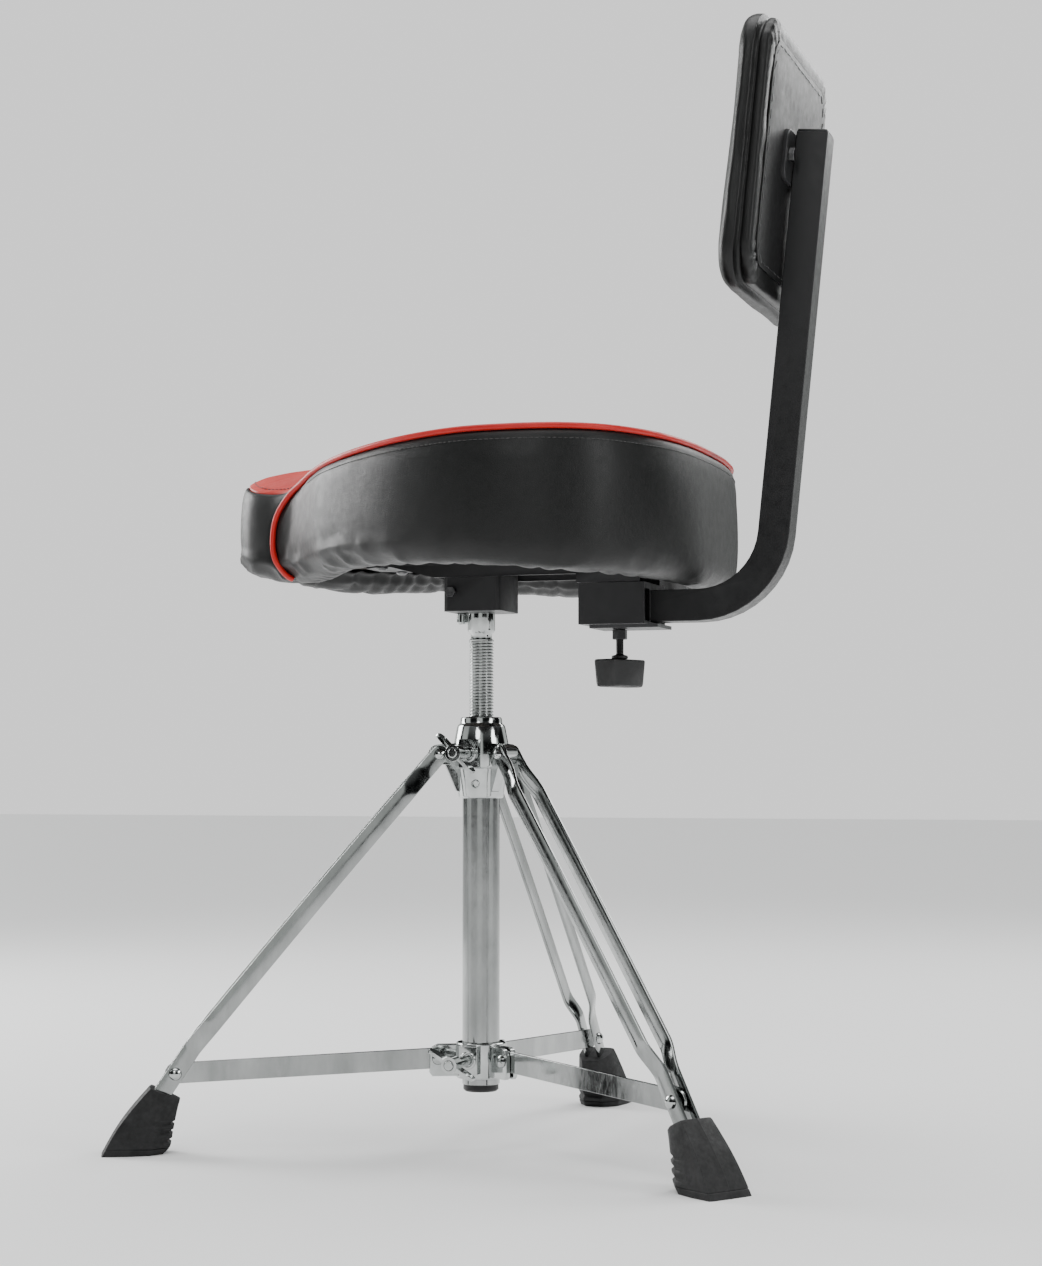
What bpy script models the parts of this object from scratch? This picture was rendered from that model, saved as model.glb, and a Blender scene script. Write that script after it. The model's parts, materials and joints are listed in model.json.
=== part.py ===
"""Drum throne: a folding double-braced tripod, a threaded height rod, a saddle
seat, and a backrest on a bent square bar that slides in a clamp under the seat.

Metres, +Z up. The front of the seat faces -Y, the backrest is at +Y.
The object's origin is on the floor, below the middle of its bounding box.
"""

import math

import bmesh
import bpy
from mathutils import Matrix, Vector

# ---------------------------------------------------------------- driving sizes
GAP = 0.0003              # clearance between pieces that touch
AXIS_X = 0.0458
AXIS_Y = -0.0055

LEG_AZIMUTHS = {"a": -64.4, "b": 55.6, "c": 175.6}
LOCK_AZIMUTH = -4.4       # both wing bolts point this way

POST_R = 0.0150
POST_WALL = 0.0015
POST_BOTTOM = 0.0500
POST_TOP = 0.3187
PLUG_BOTTOM = 0.0445

HUB_BOTTOM = 0.2786
HUB_TOP = 0.3440
HUB_R = 0.0223
HUB_PIVOT_R = 0.0345
HUB_PIVOT_Z = 0.3140
HUB_LUG_HALF = 0.00545    # half the thickness of a leg lug
HUB_LOCK_Z = 0.3145

COLLAR_BOTTOM = 0.0550
COLLAR_TOP = 0.0836
COLLAR_R = 0.0200
COLLAR_PIVOT_R = 0.0350
COLLAR_PIVOT_Z = 0.0710
EAR_INNER = 0.0016        # a strut lies between two ears
EAR_OUTER = 0.0056

STRAP_WIDTH = 0.0140
STRAP_THICK = 0.00275
STRAP_NARROW_TOP = 0.00575    # strap's inner face from the leg's plane at the hub
STRAP_WIDE = 0.0105           # along the leg
STRAP_NARROW_LOW = 0.0045     # at the foot
LEG_BEND = (0.2290, 0.0830)   # radius and height
LEG_RIVET = (0.2430, 0.0620)
LEG_BURIED = 0.0385           # strap length below the lower rivet

STRUT_WIDTH = 0.0165
STRUT_THICK = 0.0025

RIVET_R = 0.0030
HOLE_R = 0.0033
HUB_RIVET_HEAD_R = 0.0045
FOOT_RIVET_HEAD_R = 0.0052

FOOT_HEIGHT = 0.0520
FOOT_OUTER_SOLE = 0.3000
FOOT_OUTER_TOP = 0.2630
FOOT_HALF_SOLE = 0.0200
FOOT_HALF_TOP = 0.0145
NOTCH_START = 0.2490      # radius where the strut's notch in the foot's top begins
NOTCH_FLOOR = 0.0455
# A foot's levels: share of its height, and push of its inner side towards the outside,
# which makes the sole's bevel and the three grip notches.
FOOT_LEVELS = [
    (0.00, 0.0055), (0.07, 0.0022), (0.12, 0.0), (0.17, 0.0), (0.21, 0.0024), (0.25, 0.0),
    (0.31, 0.0), (0.35, 0.0024), (0.39, 0.0), (0.45, 0.0), (0.49, 0.0024), (0.53, 0.0),
    (1.00, 0.0),
]

ROD_R = 0.0100
ROD_NECK_R = 0.0085
ROD_HEAD_R = 0.0111
ROD_BOTTOM = 0.2000
ROD_THREAD_TOP = 0.4066
ROD_SHOULDER = 0.4115
ROD_TOP = 0.4550
NUT_R = 0.0137

BOLT_R = 0.0040           # wing bolts
WING_REACH = 0.0215       # from the bolt's axis to a wing's tip
HUB_BOLT_END = 0.0565
COLLAR_BOLT_END = 0.0630

RECEIVER_HALF = 0.0245
RECEIVER_BOTTOM = 0.4290
RECEIVER_TOP = 0.4610
RECEIVER_BOLT_Y = -0.0170
RECEIVER_BOLT_Z = 0.4445
STOP_NUT_LOW = 0.4200
PLATE_HALF = 0.0310
PLATE_UNDER = 0.4660
PLATE_TOP = 0.4690
PLATE_FRONT = -0.0950
PLATE_REAR = 0.1430
FLANGE_LOW = 0.4560       # the mount plate's side flanges reach down to here
FLANGE_REAR_LOW = 0.4490  # and to here beside the backrest clamp
SCREW_SPOTS = [(-0.022, -0.078), (0.022, -0.078), (-0.022, 0.066), (0.022, 0.066)]
BOARD_BOTTOM = 0.4705
BOARD_TOP = 0.4820

BAR_HALF = 0.0125
BAR_WALL = 0.0015
BAR_Z = 0.4305
BAR_FRONT = 0.0880
BAR_BEND_R = 0.0615
BAR_LEAN = math.radians(6.0)
BAR_REAR_FACE_Y = 0.2600  # the upright's rear face at this height
BAR_REAR_FACE_Z = 0.5090
BAR_TOP_Z = 0.7985

CLAMP_FRONT = 0.0920
CLAMP_REAR = 0.1460
CLAMP_HALF = 0.0310
CLAMP_LOW = 0.4158
CLAMP_HIGH = 0.4485
CLAMP_WALL = 0.0025
CLAMP_LIP_LOW = 0.4132
CLAMP_NUT_LOW = 0.4050
CLAMP_SCREW_Y = 0.1170
KNOB_TOP = 0.3890
KNOB_BOTTOM = 0.3670
KNOB_AZIMUTH = -23.4

PAD_HALF_WIDTH = 0.1100
PAD_HALF_HEIGHT = 0.1050
PAD_CENTRE_Z = 0.7670
PAD_CORNER = 0.0320
PAD_EDGE = 0.0225         # thickness at the edge
PAD_CROWN = 0.0100
PAD_BOARD = 0.0080
BRACKET_THICK = 0.0046

PIPING_R = 0.0023

# Half of the seat's outline, front to rear: x, y, height of the top edge and
# height of the rim's underside.
SEAT_HALF = [
    (0.000, -0.2030, 0.5380, 0.4610),
    (0.036, -0.1980, 0.5350, 0.4600),
    (0.062, -0.1800, 0.5275, 0.4570),
    (0.073, -0.1500, 0.5240, 0.4530),
    (0.086, -0.1280, 0.5290, 0.4520),
    (0.108, -0.1080, 0.5340, 0.4540),
    (0.137, -0.0820, 0.5375, 0.4560),
    (0.166, -0.0450, 0.5415, 0.4560),
    (0.191, 0.0000, 0.5450, 0.4540),
    (0.206, 0.0480, 0.5475, 0.4520),
    (0.209, 0.0900, 0.5480, 0.4490),
    (0.199, 0.1300, 0.5485, 0.4460),
    (0.171, 0.1620, 0.5490, 0.4450),
    (0.119, 0.1850, 0.5495, 0.4450),
    (0.060, 0.1940, 0.5500, 0.4460),
    (0.000, 0.1960, 0.5500, 0.4465),
]
SEAM_STATION = 3          # the nose panel's vertical seams are at this point
SEAT_MIDDLE = 0.5560      # the top's height around its middle
CROWN_RISE = 0.0040       # and the last rise to its middle point
BOARD_INSET = 0.0430      # the seat board's edge, in from the seat's outline
FOAM_SLACK = 0.0028       # foam lies loosely in its cover
COVER_THICK = 0.0018

# ---------------------------------------------------------------- materials
MATERIALS = {
    "chrome": ((0.82, 0.83, 0.84), 0.12, 1.0),
    "black_steel": ((0.020, 0.020, 0.021), 0.38, 0.4),
    "bolt_steel": ((0.42, 0.42, 0.43), 0.35, 1.0),
    "rubber": ((0.030, 0.030, 0.032), 0.75, 0.0),
    "black_leather": ((0.018, 0.018, 0.019), 0.42, 0.0),
    "red_piping": ((0.62, 0.030, 0.022), 0.40, 0.0),
    "plywood": ((0.30, 0.20, 0.11), 0.70, 0.0),
    "foam": ((0.70, 0.66, 0.50), 0.90, 0.0),
    "black_plastic": ((0.025, 0.025, 0.027), 0.50, 0.0),
}


def make_materials():
    made = {}
    for name, (colour, roughness, metallic) in MATERIALS.items():
        material = bpy.data.materials.new(name)
        material.use_nodes = True
        shader = material.node_tree.nodes["Principled BSDF"]
        shader.inputs["Base Color"].default_value = (*colour, 1.0)
        shader.inputs["Roughness"].default_value = roughness
        shader.inputs["Metallic"].default_value = metallic
        made[name] = material
    return made


# ---------------------------------------------------------------- building tools
def clear_scene():
    for obj in list(bpy.data.objects):
        bpy.data.objects.remove(obj, do_unlink=True)


def empty(name, location, azimuth=0.0, parent=None, lean=0.0):
    """A frame to build in: turned about Z by azimuth degrees, leaned about its X."""
    frame = bpy.data.objects.new(name, None)
    frame.empty_display_size = 0.02
    turn = Matrix.Rotation(math.radians(azimuth), 4, "Z")
    tilt = Matrix.Rotation(lean, 4, "X")
    frame.matrix_basis = Matrix.Translation(location) @ turn @ tilt
    frame.parent = parent
    bpy.context.collection.objects.link(frame)
    return frame


def solid(name, points, faces, material, parent, smooth=True):
    mesh = bpy.data.meshes.new(name)
    mesh.from_pydata([tuple(p) for p in points], [], faces)
    shell = bmesh.new()
    shell.from_mesh(mesh)
    bmesh.ops.recalc_face_normals(shell, faces=shell.faces)
    shell.to_mesh(mesh)
    shell.free()
    mesh.materials.append(material)
    obj = bpy.data.objects.new(name, mesh)
    obj.parent = parent
    bpy.context.collection.objects.link(obj)
    if smooth:
        mesh.shade_smooth()
        mesh.set_sharp_from_angle(angle=math.radians(35))
    return obj


def loft_faces(rings, count, closed):
    """Faces between rings of count points each; closed joins the last to the first."""
    faces = []
    for ring in range(rings if closed else rings - 1):
        near = ring * count
        far = ((ring + 1) % rings) * count
        for i in range(count):
            j = (i + 1) % count
            faces.append((near + i, near + j, far + j, far + i))
    return faces


def loft(name, rings, material, parent, closed=False):
    """A solid through rings of points. Its ends are capped unless it is closed."""
    count = len(rings[0])
    points = [p for ring in rings for p in ring]
    faces = loft_faces(len(rings), count, closed)
    if not closed:
        faces.append(tuple(reversed(range(count))))
        last = (len(rings) - 1) * count
        faces.append(tuple(range(last, last + count)))
    return solid(name, points, faces, material, parent)


def dome_loft(name, rings, tip, material, parent, start=None):
    """A loft whose last ring closes on a point, and whose first does on start."""
    count = len(rings[0])
    points = [p for ring in rings for p in ring] + [tip]
    faces = loft_faces(len(rings), count, False)
    last = (len(rings) - 1) * count
    top = len(rings) * count
    faces += [(last + i, last + (i + 1) % count, top) for i in range(count)]
    if start is None:
        faces.append(tuple(reversed(range(count))))
    else:
        points.append(start)
        faces += [((i + 1) % count, i, top + 1) for i in range(count)]
    return solid(name, points, faces, material, parent)


AXES = {
    "X": lambda a, b, h: (h, a, b),
    "Y": lambda a, b, h: (a, h, b),
    "Z": lambda a, b, h: (a, b, h),
}


def turned(name, profile, sides, material, parent, axis="Z", centre=(0, 0, 0)):
    """A profile of (radius, height) pairs turned about an axis. Profile ends on
    the axis close on points; one that never meets the axis is a closed ring."""
    place = AXES[axis]
    middle = Vector(centre)

    def ring(radius, height):
        turns = (math.tau * i / sides for i in range(sides))
        return [
            middle + Vector(place(radius * math.cos(t), radius * math.sin(t), height))
            for t in turns
        ]

    if profile[0][0] > 0:
        return loft(name, [ring(*p) for p in profile], material, parent, closed=True)
    start = middle + Vector(place(0, 0, profile[0][1]))
    tip = middle + Vector(place(0, 0, profile[-1][1]))
    rings = [ring(*p) for p in profile[1:-1]]
    return dome_loft(name, rings, tip, material, parent, start=start)


def prism(name, outline, low, high, material, parent, axis="Z"):
    """An outline of (a, b) pairs, extruded along an axis from low to high."""
    place = AXES[axis]
    rings = [[Vector(place(a, b, h)) for a, b in outline] for h in (low, high)]
    return loft(name, rings, material, parent)


def box(name, low, high, material, parent):
    outline = [(low[0], low[1]), (high[0], low[1]), (high[0], high[1]), (low[0], high[1])]
    return prism(name, outline, low[2], high[2], material, parent)


def rounded_box(half_x, half_y, corner, steps=3):
    """A rectangle's outline with round corners, centred on the origin."""
    outline = []
    for quarter, (sx, sy) in enumerate([(1, 1), (-1, 1), (-1, -1), (1, -1)]):
        cx, cy = sx * (half_x - corner), sy * (half_y - corner)
        for step in range(steps + 1):
            turn = math.pi / 2 * (quarter + step / steps)
            outline.append((cx + corner * math.cos(turn), cy + corner * math.sin(turn)))
    return outline


def boolean(target, other, operation):
    """Cut other from target, or join it on; other stays as a hidden guide."""
    other.hide_render = True
    other.display_type = "WIRE"
    change = target.modifiers.new(other.name, "BOOLEAN")
    change.operation = operation
    change.object = other


def cut_round(target, name, radius, low, high, centre, axis, parent, sides=16):
    profile = [(0, low), (radius, low), (radius, high), (0, high)]
    cutter = turned(name, profile, sides, MADE["chrome"], parent, axis, centre)
    boolean(target, cutter, "DIFFERENCE")


def cut_box(target, name, low, high, parent):
    boolean(target, box(name, low, high, MADE["chrome"], parent), "DIFFERENCE")


def join_on(target, other):
    boolean(target, other, "UNION")


def mix(a, b, t):
    return a + (b - a) * t


def ease(t):
    t = max(0.0, min(1.0, t))
    return t * t * (3 - 2 * t)


# ---------------------------------------------------------------- tripod centre
def build_post(root):
    inner = POST_R - POST_WALL
    profile = [(POST_R, POST_TOP), (POST_R, POST_BOTTOM), (inner, POST_BOTTOM), (inner, POST_TOP)]
    post = turned("post_tube", profile, 32, MADE["chrome"], root)
    side = empty("post_bolt_hole_frame", (0, 0, HUB_LOCK_Z), LOCK_AZIMUTH, root)
    cut_round(post, "post_bolt_hole", BOLT_R + GAP, 0, 0.03, (0, 0, 0), "X", side)

    fit = inner - GAP
    flange = POST_R - 0.0008
    plug = [
        (0, PLUG_BOTTOM), (flange - 0.0015, PLUG_BOTTOM), (flange, PLUG_BOTTOM + 0.0015),
        (flange, POST_BOTTOM - GAP), (fit, POST_BOTTOM - GAP), (fit, POST_BOTTOM + 0.012),
        (0, POST_BOTTOM + 0.012),
    ]
    turned("post_plug", plug, 24, MADE["black_plastic"], root)


def build_hub(root):
    bore = POST_R + GAP
    nut_seat = NUT_R + GAP
    lip = ROD_R + 0.0010
    profile = [
        (bore, HUB_BOTTOM), (bore, POST_TOP + GAP), (nut_seat, POST_TOP + GAP),
        (nut_seat, HUB_TOP - 0.003), (lip, HUB_TOP - 0.003), (lip, HUB_TOP),
        (0.0158, HUB_TOP), (0.0168, HUB_TOP - 0.001), (0.0170, HUB_TOP - 0.005),
        (0.0192, HUB_TOP - 0.007), (HUB_R, HUB_TOP - 0.022), (HUB_R, 0.3040),
        (0.0215, 0.3010), (0.0182, HUB_BOTTOM + 0.0015), (0.0172, HUB_BOTTOM),
    ]
    hub = turned("leg_hub", profile, 32, MADE["chrome"], root)
    for letter, azimuth in LEG_AZIMUTHS.items():
        frame = empty(f"hub_lug_{letter}_frame", (0, 0, 0), azimuth, root)
        round_end = [
            (HUB_PIVOT_R + 0.008 * math.cos(t), HUB_PIVOT_Z + 0.008 * math.sin(t))
            for t in (math.pi * (i / 8 - 0.5) for i in range(9))
        ]
        inner = 0.0175
        outline = [(inner, HUB_PIVOT_Z - 0.008), *round_end, (inner, HUB_PIVOT_Z + 0.008)]
        lug = prism(f"hub_lug_{letter}", outline, -HUB_LUG_HALF, HUB_LUG_HALF,
                    MADE["chrome"], frame, axis="Y")
        join_on(hub, lug)
        cut_round(hub, f"hub_lug_{letter}_hole", HOLE_R, -0.01, 0.01,
                  (HUB_PIVOT_R, 0, HUB_PIVOT_Z), "Y", frame, sides=12)
    side = empty("hub_boss_frame", (0, 0, HUB_LOCK_Z), LOCK_AZIMUTH, root)
    join_on(hub, box("hub_boss", (0.0175, -0.0085, -0.0115), (0.0262, 0.0085, 0.0115),
                     MADE["chrome"], side))
    cut_round(hub, "hub_boss_hole", BOLT_R + GAP, 0.012, 0.03, (0, 0, 0), "X", side)
    screw_side = empty("hub_set_screw_frame", (0, 0, 0.2900), 6.0, root)
    cut_round(hub, "hub_set_screw_hole", 0.0026, 0.012, 0.025, (0, 0, 0), "X", screw_side,
              sides=12)

    screw = [(0, POST_R + GAP), (0.0023, POST_R + GAP), (0.0023, 0.0185), (0, 0.0185)]
    turned("hub_set_screw", screw, 12, MADE["bolt_steel"], screw_side, axis="X")

    nut_low, nut_high = POST_TOP + 2 * GAP, HUB_TOP - 0.003 - GAP
    clear = ROD_R + GAP
    nut = [(NUT_R, nut_high), (NUT_R, nut_low), (clear, nut_low), (clear, nut_high)]
    turned("thread_nut", nut, 24, MADE["bolt_steel"], root)


def build_wing_bolt(name, frame, tip, end, tilt):
    """A bolt along the frame's X with a two-winged handle near its outer end."""
    radius = BOLT_R
    shank = [(0, tip), (radius, tip), (radius, end - 0.0006), (radius - 0.0006, end), (0, end)]
    turned(f"{name}_bolt", shank, 16, MADE["chrome"], frame, axis="X")

    low, high = end - 0.0125, end - 0.0010
    sleeve = [(0.0066, high), (0.0066, low), (0.0030, low), (0.0030, high)]
    handle = turned(f"{name}_wing", sleeve, 20, MADE["chrome"], frame, axis="X")
    turn = Matrix.Rotation(math.radians(tilt), 3, "X")
    stations = [(-1.0, 0.55), (-0.93, 0.86), (-0.75, 1.0), (0.75, 1.0), (0.93, 0.86), (1.0, 0.55)]
    middle = (low + high) / 2
    rings = []
    for along, width in stations:
        half = 0.0052 * width
        thick = mix(0.0023, 0.0012, abs(along))
        corners = [(-half, -thick), (half, -thick), (half, thick), (-half, thick)]
        reach = WING_REACH * along
        rings.append([turn @ Vector((middle + a, b, reach)) for a, b in corners])
    join_on(handle, loft(f"{name}_blades", rings, MADE["chrome"], frame))
    cut_round(handle, f"{name}_wing_hole", radius + GAP, low - 0.01, high + 0.01,
              (0, 0, 0), "X", frame)


# ---------------------------------------------------------------- legs
def leg_path():
    """Stations down a leg: radius and height from the hub pivot, and arc length."""
    pivot = Vector((0, 0))
    bend = Vector((LEG_BEND[0] - HUB_PIVOT_R, LEG_BEND[1] - HUB_PIVOT_Z))
    rivet = Vector((LEG_RIVET[0] - HUB_PIVOT_R, LEG_RIVET[1] - HUB_PIVOT_Z))
    lower = (rivet - bend).normalized()
    end = rivet + lower * LEG_BURIED
    return pivot, bend, rivet, end


def strap_offset(distance, to_bend):
    """The strap's inner face from the leg's plane, at a distance from the pivot."""
    spread = ease((distance - 0.014) / 0.028)
    pinch = ease((distance - (to_bend - 0.022)) / 0.026)
    upper = mix(STRAP_NARROW_TOP, STRAP_WIDE, spread)
    return mix(upper, STRAP_NARROW_LOW, pinch)


def strap_stations():
    """Position, direction, half width and arc length of each of a strap's stations."""
    pivot, bend, rivet, end = leg_path()
    half = STRAP_WIDTH / 2
    to_bend = (bend - pivot).length
    down = (bend - pivot).normalized()
    low = (end - rivet).normalized()
    stations = []
    for turn in (82, 60, 38, 18):
        back = -half * math.sin(math.radians(turn))
        stations.append((pivot + down * back, down, half * math.cos(math.radians(turn)), back))
    spread_start, spread_end = 0.014, 0.042
    pinch_start, pinch_end = to_bend - 0.022, to_bend + 0.004
    marks = [0.0, spread_start]
    marks += [mix(spread_start, spread_end, t) for t in (0.25, 0.5, 0.75, 1.0)]
    marks += [mix(pinch_start, pinch_end, t) for t in (0.0, 0.25, 0.5, 0.75)]
    for mark in marks:
        stations.append((pivot + down * mark, down, half, mark))
    middle = (down + low).normalized()
    stations.append((bend, middle, half, to_bend))
    stations.append((bend + low * 0.005, low, half, to_bend + 0.005))
    stations.append((end, low, half, to_bend + (end - bend).length))
    return stations, to_bend


def build_strap(name, side, frame):
    stations, to_bend = strap_stations()
    rings = []
    for point, along, half, distance in stations:
        across = Vector((-along.y, along.x))
        inner = strap_offset(distance, to_bend) * side
        outer = inner + STRAP_THICK * side
        a, b = point + across * half, point - across * half
        rings.append([
            Vector((a.x, inner, a.y)), Vector((b.x, inner, b.y)),
            Vector((b.x, outer, b.y)), Vector((a.x, outer, a.y)),
        ])
    strap = loft(name, rings, MADE["chrome"], frame)
    rivet = leg_path()[2]
    for hole, place in (("top", Vector((0, 0))), ("low", rivet)):
        cut_round(strap, f"{name}_{hole}_hole", HOLE_R, -0.02, 0.02, (place.x, 0, place.y),
                  "Y", frame, sides=12)


def head_profile(outward, base, radius, height):
    """A domed rivet head from its rim to its crown."""
    turns = (math.radians(a) for a in (0, 30, 55, 78))
    return [(radius * math.cos(t), base + outward * height * math.sin(t)) for t in turns]


def build_through_rivet(name, half_length, head_r, head_h, centre, frame):
    low = head_profile(-1, -half_length, head_r, head_h)
    high = head_profile(1, half_length, head_r, head_h)
    profile = [(0, -half_length - head_h), *reversed(low), (RIVET_R, -half_length)]
    profile += [(RIVET_R, half_length), *high, (0, half_length + head_h)]
    turned(name, profile, 16, MADE["chrome"], frame, axis="Y", centre=centre)


def build_half_rivet(name, side, centre, frame):
    """The lower rivet's head and stub on one strap; the strut runs free between."""
    inner = STRAP_NARROW_LOW * side
    outer = (STRAP_NARROW_LOW + STRAP_THICK + GAP) * side
    head = head_profile(side, outer, FOOT_RIVET_HEAD_R, 0.0036)
    profile = [(0, inner), (RIVET_R, inner), (RIVET_R, outer), *head, (0, outer + 0.0036 * side)]
    turned(name, profile, 16, MADE["chrome"], frame, axis="Y", centre=centre)


def foot_ring(share, push):
    """One level of a foot: six corners, the inner two drawn outward by push."""
    outer = mix(FOOT_OUTER_SOLE, FOOT_OUTER_TOP, share) + 0.003 * math.sin(math.pi * share)
    wide = mix(FOOT_HALF_SOLE, FOOT_HALF_TOP, share)
    shoulder = mix(0.2630, 0.2500, share)
    inner = mix(0.2470, 0.2390, share) + push
    narrow = mix(0.0090, 0.0075, share)
    slope = 0.010 * share ** 3     # the top face tips inward

    def lift(radius):
        return FOOT_HEIGHT * share - slope * (outer - radius) / (outer - inner)

    corners = [
        (outer, wide), (shoulder, wide - push * 0.3), (inner, narrow),
        (inner, -narrow), (shoulder, -wide + push * 0.3), (outer, -wide),
    ]
    return [(r, side, lift(r)) for r, side in corners]


def build_foot(name, frame):
    rings = [
        [Vector((r - HUB_PIVOT_R, side, z - HUB_PIVOT_Z)) for r, side, z in foot_ring(*level)]
        for level in FOOT_LEVELS
    ]
    foot = loft(name, rings, MADE["rubber"], frame)
    rivet, end = leg_path()[2:]
    low = (end - rivet).normalized()
    across = Vector((-low.y, low.x))
    half = STRAP_WIDTH / 2 + GAP
    start, stop = rivet + low * 0.004, end + low * GAP
    for side in (1, -1):
        inner = (STRAP_NARROW_LOW - GAP) * side
        outer = (STRAP_NARROW_LOW + STRAP_THICK + GAP) * side
        rings = []
        for point in (start, stop):
            a, b = point + across * half, point - across * half
            rings.append([
                Vector((a.x, inner, a.y)), Vector((b.x, inner, b.y)),
                Vector((b.x, outer, b.y)), Vector((a.x, outer, a.y)),
            ])
        word = "left" if side > 0 else "right"
        slot = loft(f"{name}_{word}_slot", rings, MADE["rubber"], frame)
        boolean(foot, slot, "DIFFERENCE")
    notch_half = STRUT_THICK / 2 + 0.0006     # the strut's end swings through here
    cut_box(foot, f"{name}_notch",
            (NOTCH_START - HUB_PIVOT_R, -notch_half, NOTCH_FLOOR - HUB_PIVOT_Z),
            (FOOT_OUTER_SOLE - HUB_PIVOT_R, notch_half, LEG_RIVET[1] - HUB_PIVOT_Z), frame)


def build_leg(letter, root):
    azimuth = LEG_AZIMUTHS[letter]
    turn = math.radians(azimuth)
    place = (HUB_PIVOT_R * math.cos(turn), HUB_PIVOT_R * math.sin(turn), HUB_PIVOT_Z)
    frame = empty(f"leg_{letter}_pivot", place, azimuth, root)
    rivet = leg_path()[2]
    low_centre = (rivet.x, 0, rivet.y)
    for word, side in (("left", 1), ("right", -1)):
        build_strap(f"leg_{letter}_strap_{word}", side, frame)
        build_half_rivet(f"leg_{letter}_foot_rivet_{word}", side, low_centre, frame)
    half = STRAP_NARROW_TOP + STRAP_THICK + GAP
    build_through_rivet(f"leg_{letter}_hub_rivet", half, HUB_RIVET_HEAD_R, 0.0034,
                        (0, 0, 0), frame)
    build_foot(f"leg_{letter}_foot", frame)


# ---------------------------------------------------------------- collar and struts
def build_collar(frame):
    """Built in a frame whose origin is the post's axis on the floor."""
    bore = POST_R + GAP
    profile = [
        (bore, COLLAR_BOTTOM), (bore, COLLAR_TOP), (COLLAR_R - 0.0008, COLLAR_TOP),
        (COLLAR_R, COLLAR_TOP - 0.0008), (COLLAR_R, COLLAR_BOTTOM + 0.0008),
        (COLLAR_R - 0.0008, COLLAR_BOTTOM),
    ]
    collar = turned("lock_collar", profile, 32, MADE["chrome"], frame)
    ear = [
        (0.0175, 0.0570), (0.0400, 0.0570), (0.0415, 0.0600), (0.0415, 0.0740),
        (0.0390, 0.0795), (0.0340, 0.0820), (0.0175, 0.0820),
    ]
    for letter, azimuth in LEG_AZIMUTHS.items():
        side = empty(f"collar_ear_{letter}_frame", (0, 0, 0), azimuth, frame)
        for word, low, high in (("left", EAR_INNER, EAR_OUTER), ("right", -EAR_OUTER, -EAR_INNER)):
            join_on(collar, prism(f"collar_ear_{letter}_{word}", ear, low, high,
                                  MADE["chrome"], side, axis="Y"))
        centre = (COLLAR_PIVOT_R, 0, COLLAR_PIVOT_Z)
        cut_round(collar, f"collar_ear_{letter}_hole", HOLE_R, -0.01, 0.01, centre, "Y", side,
                  sides=12)
        build_through_rivet(f"collar_rivet_{letter}", EAR_OUTER + GAP, 0.0050, 0.0030,
                            centre, side)
    side = empty("collar_boss_frame", (0, 0, COLLAR_PIVOT_Z), LOCK_AZIMUTH, frame)
    join_on(collar, box("collar_boss", (0.0175, -0.0080, -0.0110), (0.0262, 0.0080, 0.0110),
                        MADE["chrome"], side))
    cut_round(collar, "collar_boss_hole", BOLT_R + GAP, 0.0, 0.03, (0, 0, 0), "X", side)


def build_strut(letter, root):
    azimuth = LEG_AZIMUTHS[letter]
    turn = math.radians(azimuth)
    place = (COLLAR_PIVOT_R * math.cos(turn), COLLAR_PIVOT_R * math.sin(turn), COLLAR_PIVOT_Z)
    frame = empty(f"strut_{letter}_pivot", place, azimuth, root)
    reach = Vector((LEG_RIVET[0] - COLLAR_PIVOT_R, LEG_RIVET[1] - COLLAR_PIVOT_Z))
    angle = math.atan2(reach.y, reach.x)
    half = STRUT_WIDTH / 2
    outline = []
    for centre, start in ((reach, angle - math.pi / 2), (Vector((0, 0)), angle + math.pi / 2)):
        for step in range(9):
            t = start + math.pi * step / 8
            outline.append((centre.x + half * math.cos(t), centre.y + half * math.sin(t)))
    strut = prism(f"strut_{letter}", outline, -STRUT_THICK / 2, STRUT_THICK / 2,
                  MADE["chrome"], frame, axis="Y")
    for word, centre in (("inner", Vector((0, 0))), ("outer", reach)):
        cut_round(strut, f"strut_{letter}_{word}_hole", HOLE_R, -0.01, 0.01,
                  (centre.x, 0, centre.y), "Y", frame, sides=12)


# ---------------------------------------------------------------- rod and receiver
def build_rod(frame):
    profile = [
        (0, ROD_BOTTOM), (ROD_R - 0.0015, ROD_BOTTOM), (ROD_R, ROD_BOTTOM + 0.0015),
        (ROD_R, ROD_THREAD_TOP), (ROD_NECK_R, ROD_THREAD_TOP + 0.0010),
        (ROD_NECK_R, ROD_SHOULDER), (ROD_HEAD_R, ROD_SHOULDER + 0.0030),
        (ROD_HEAD_R, ROD_TOP - 0.0010), (ROD_HEAD_R - 0.0010, ROD_TOP), (0, ROD_TOP),
    ]
    turned("height_rod", profile, 28, MADE["chrome"], frame)


def hexagon(radius):
    return [(radius * math.cos(math.pi * i / 3), radius * math.sin(math.pi * i / 3))
            for i in range(6)]


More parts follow.
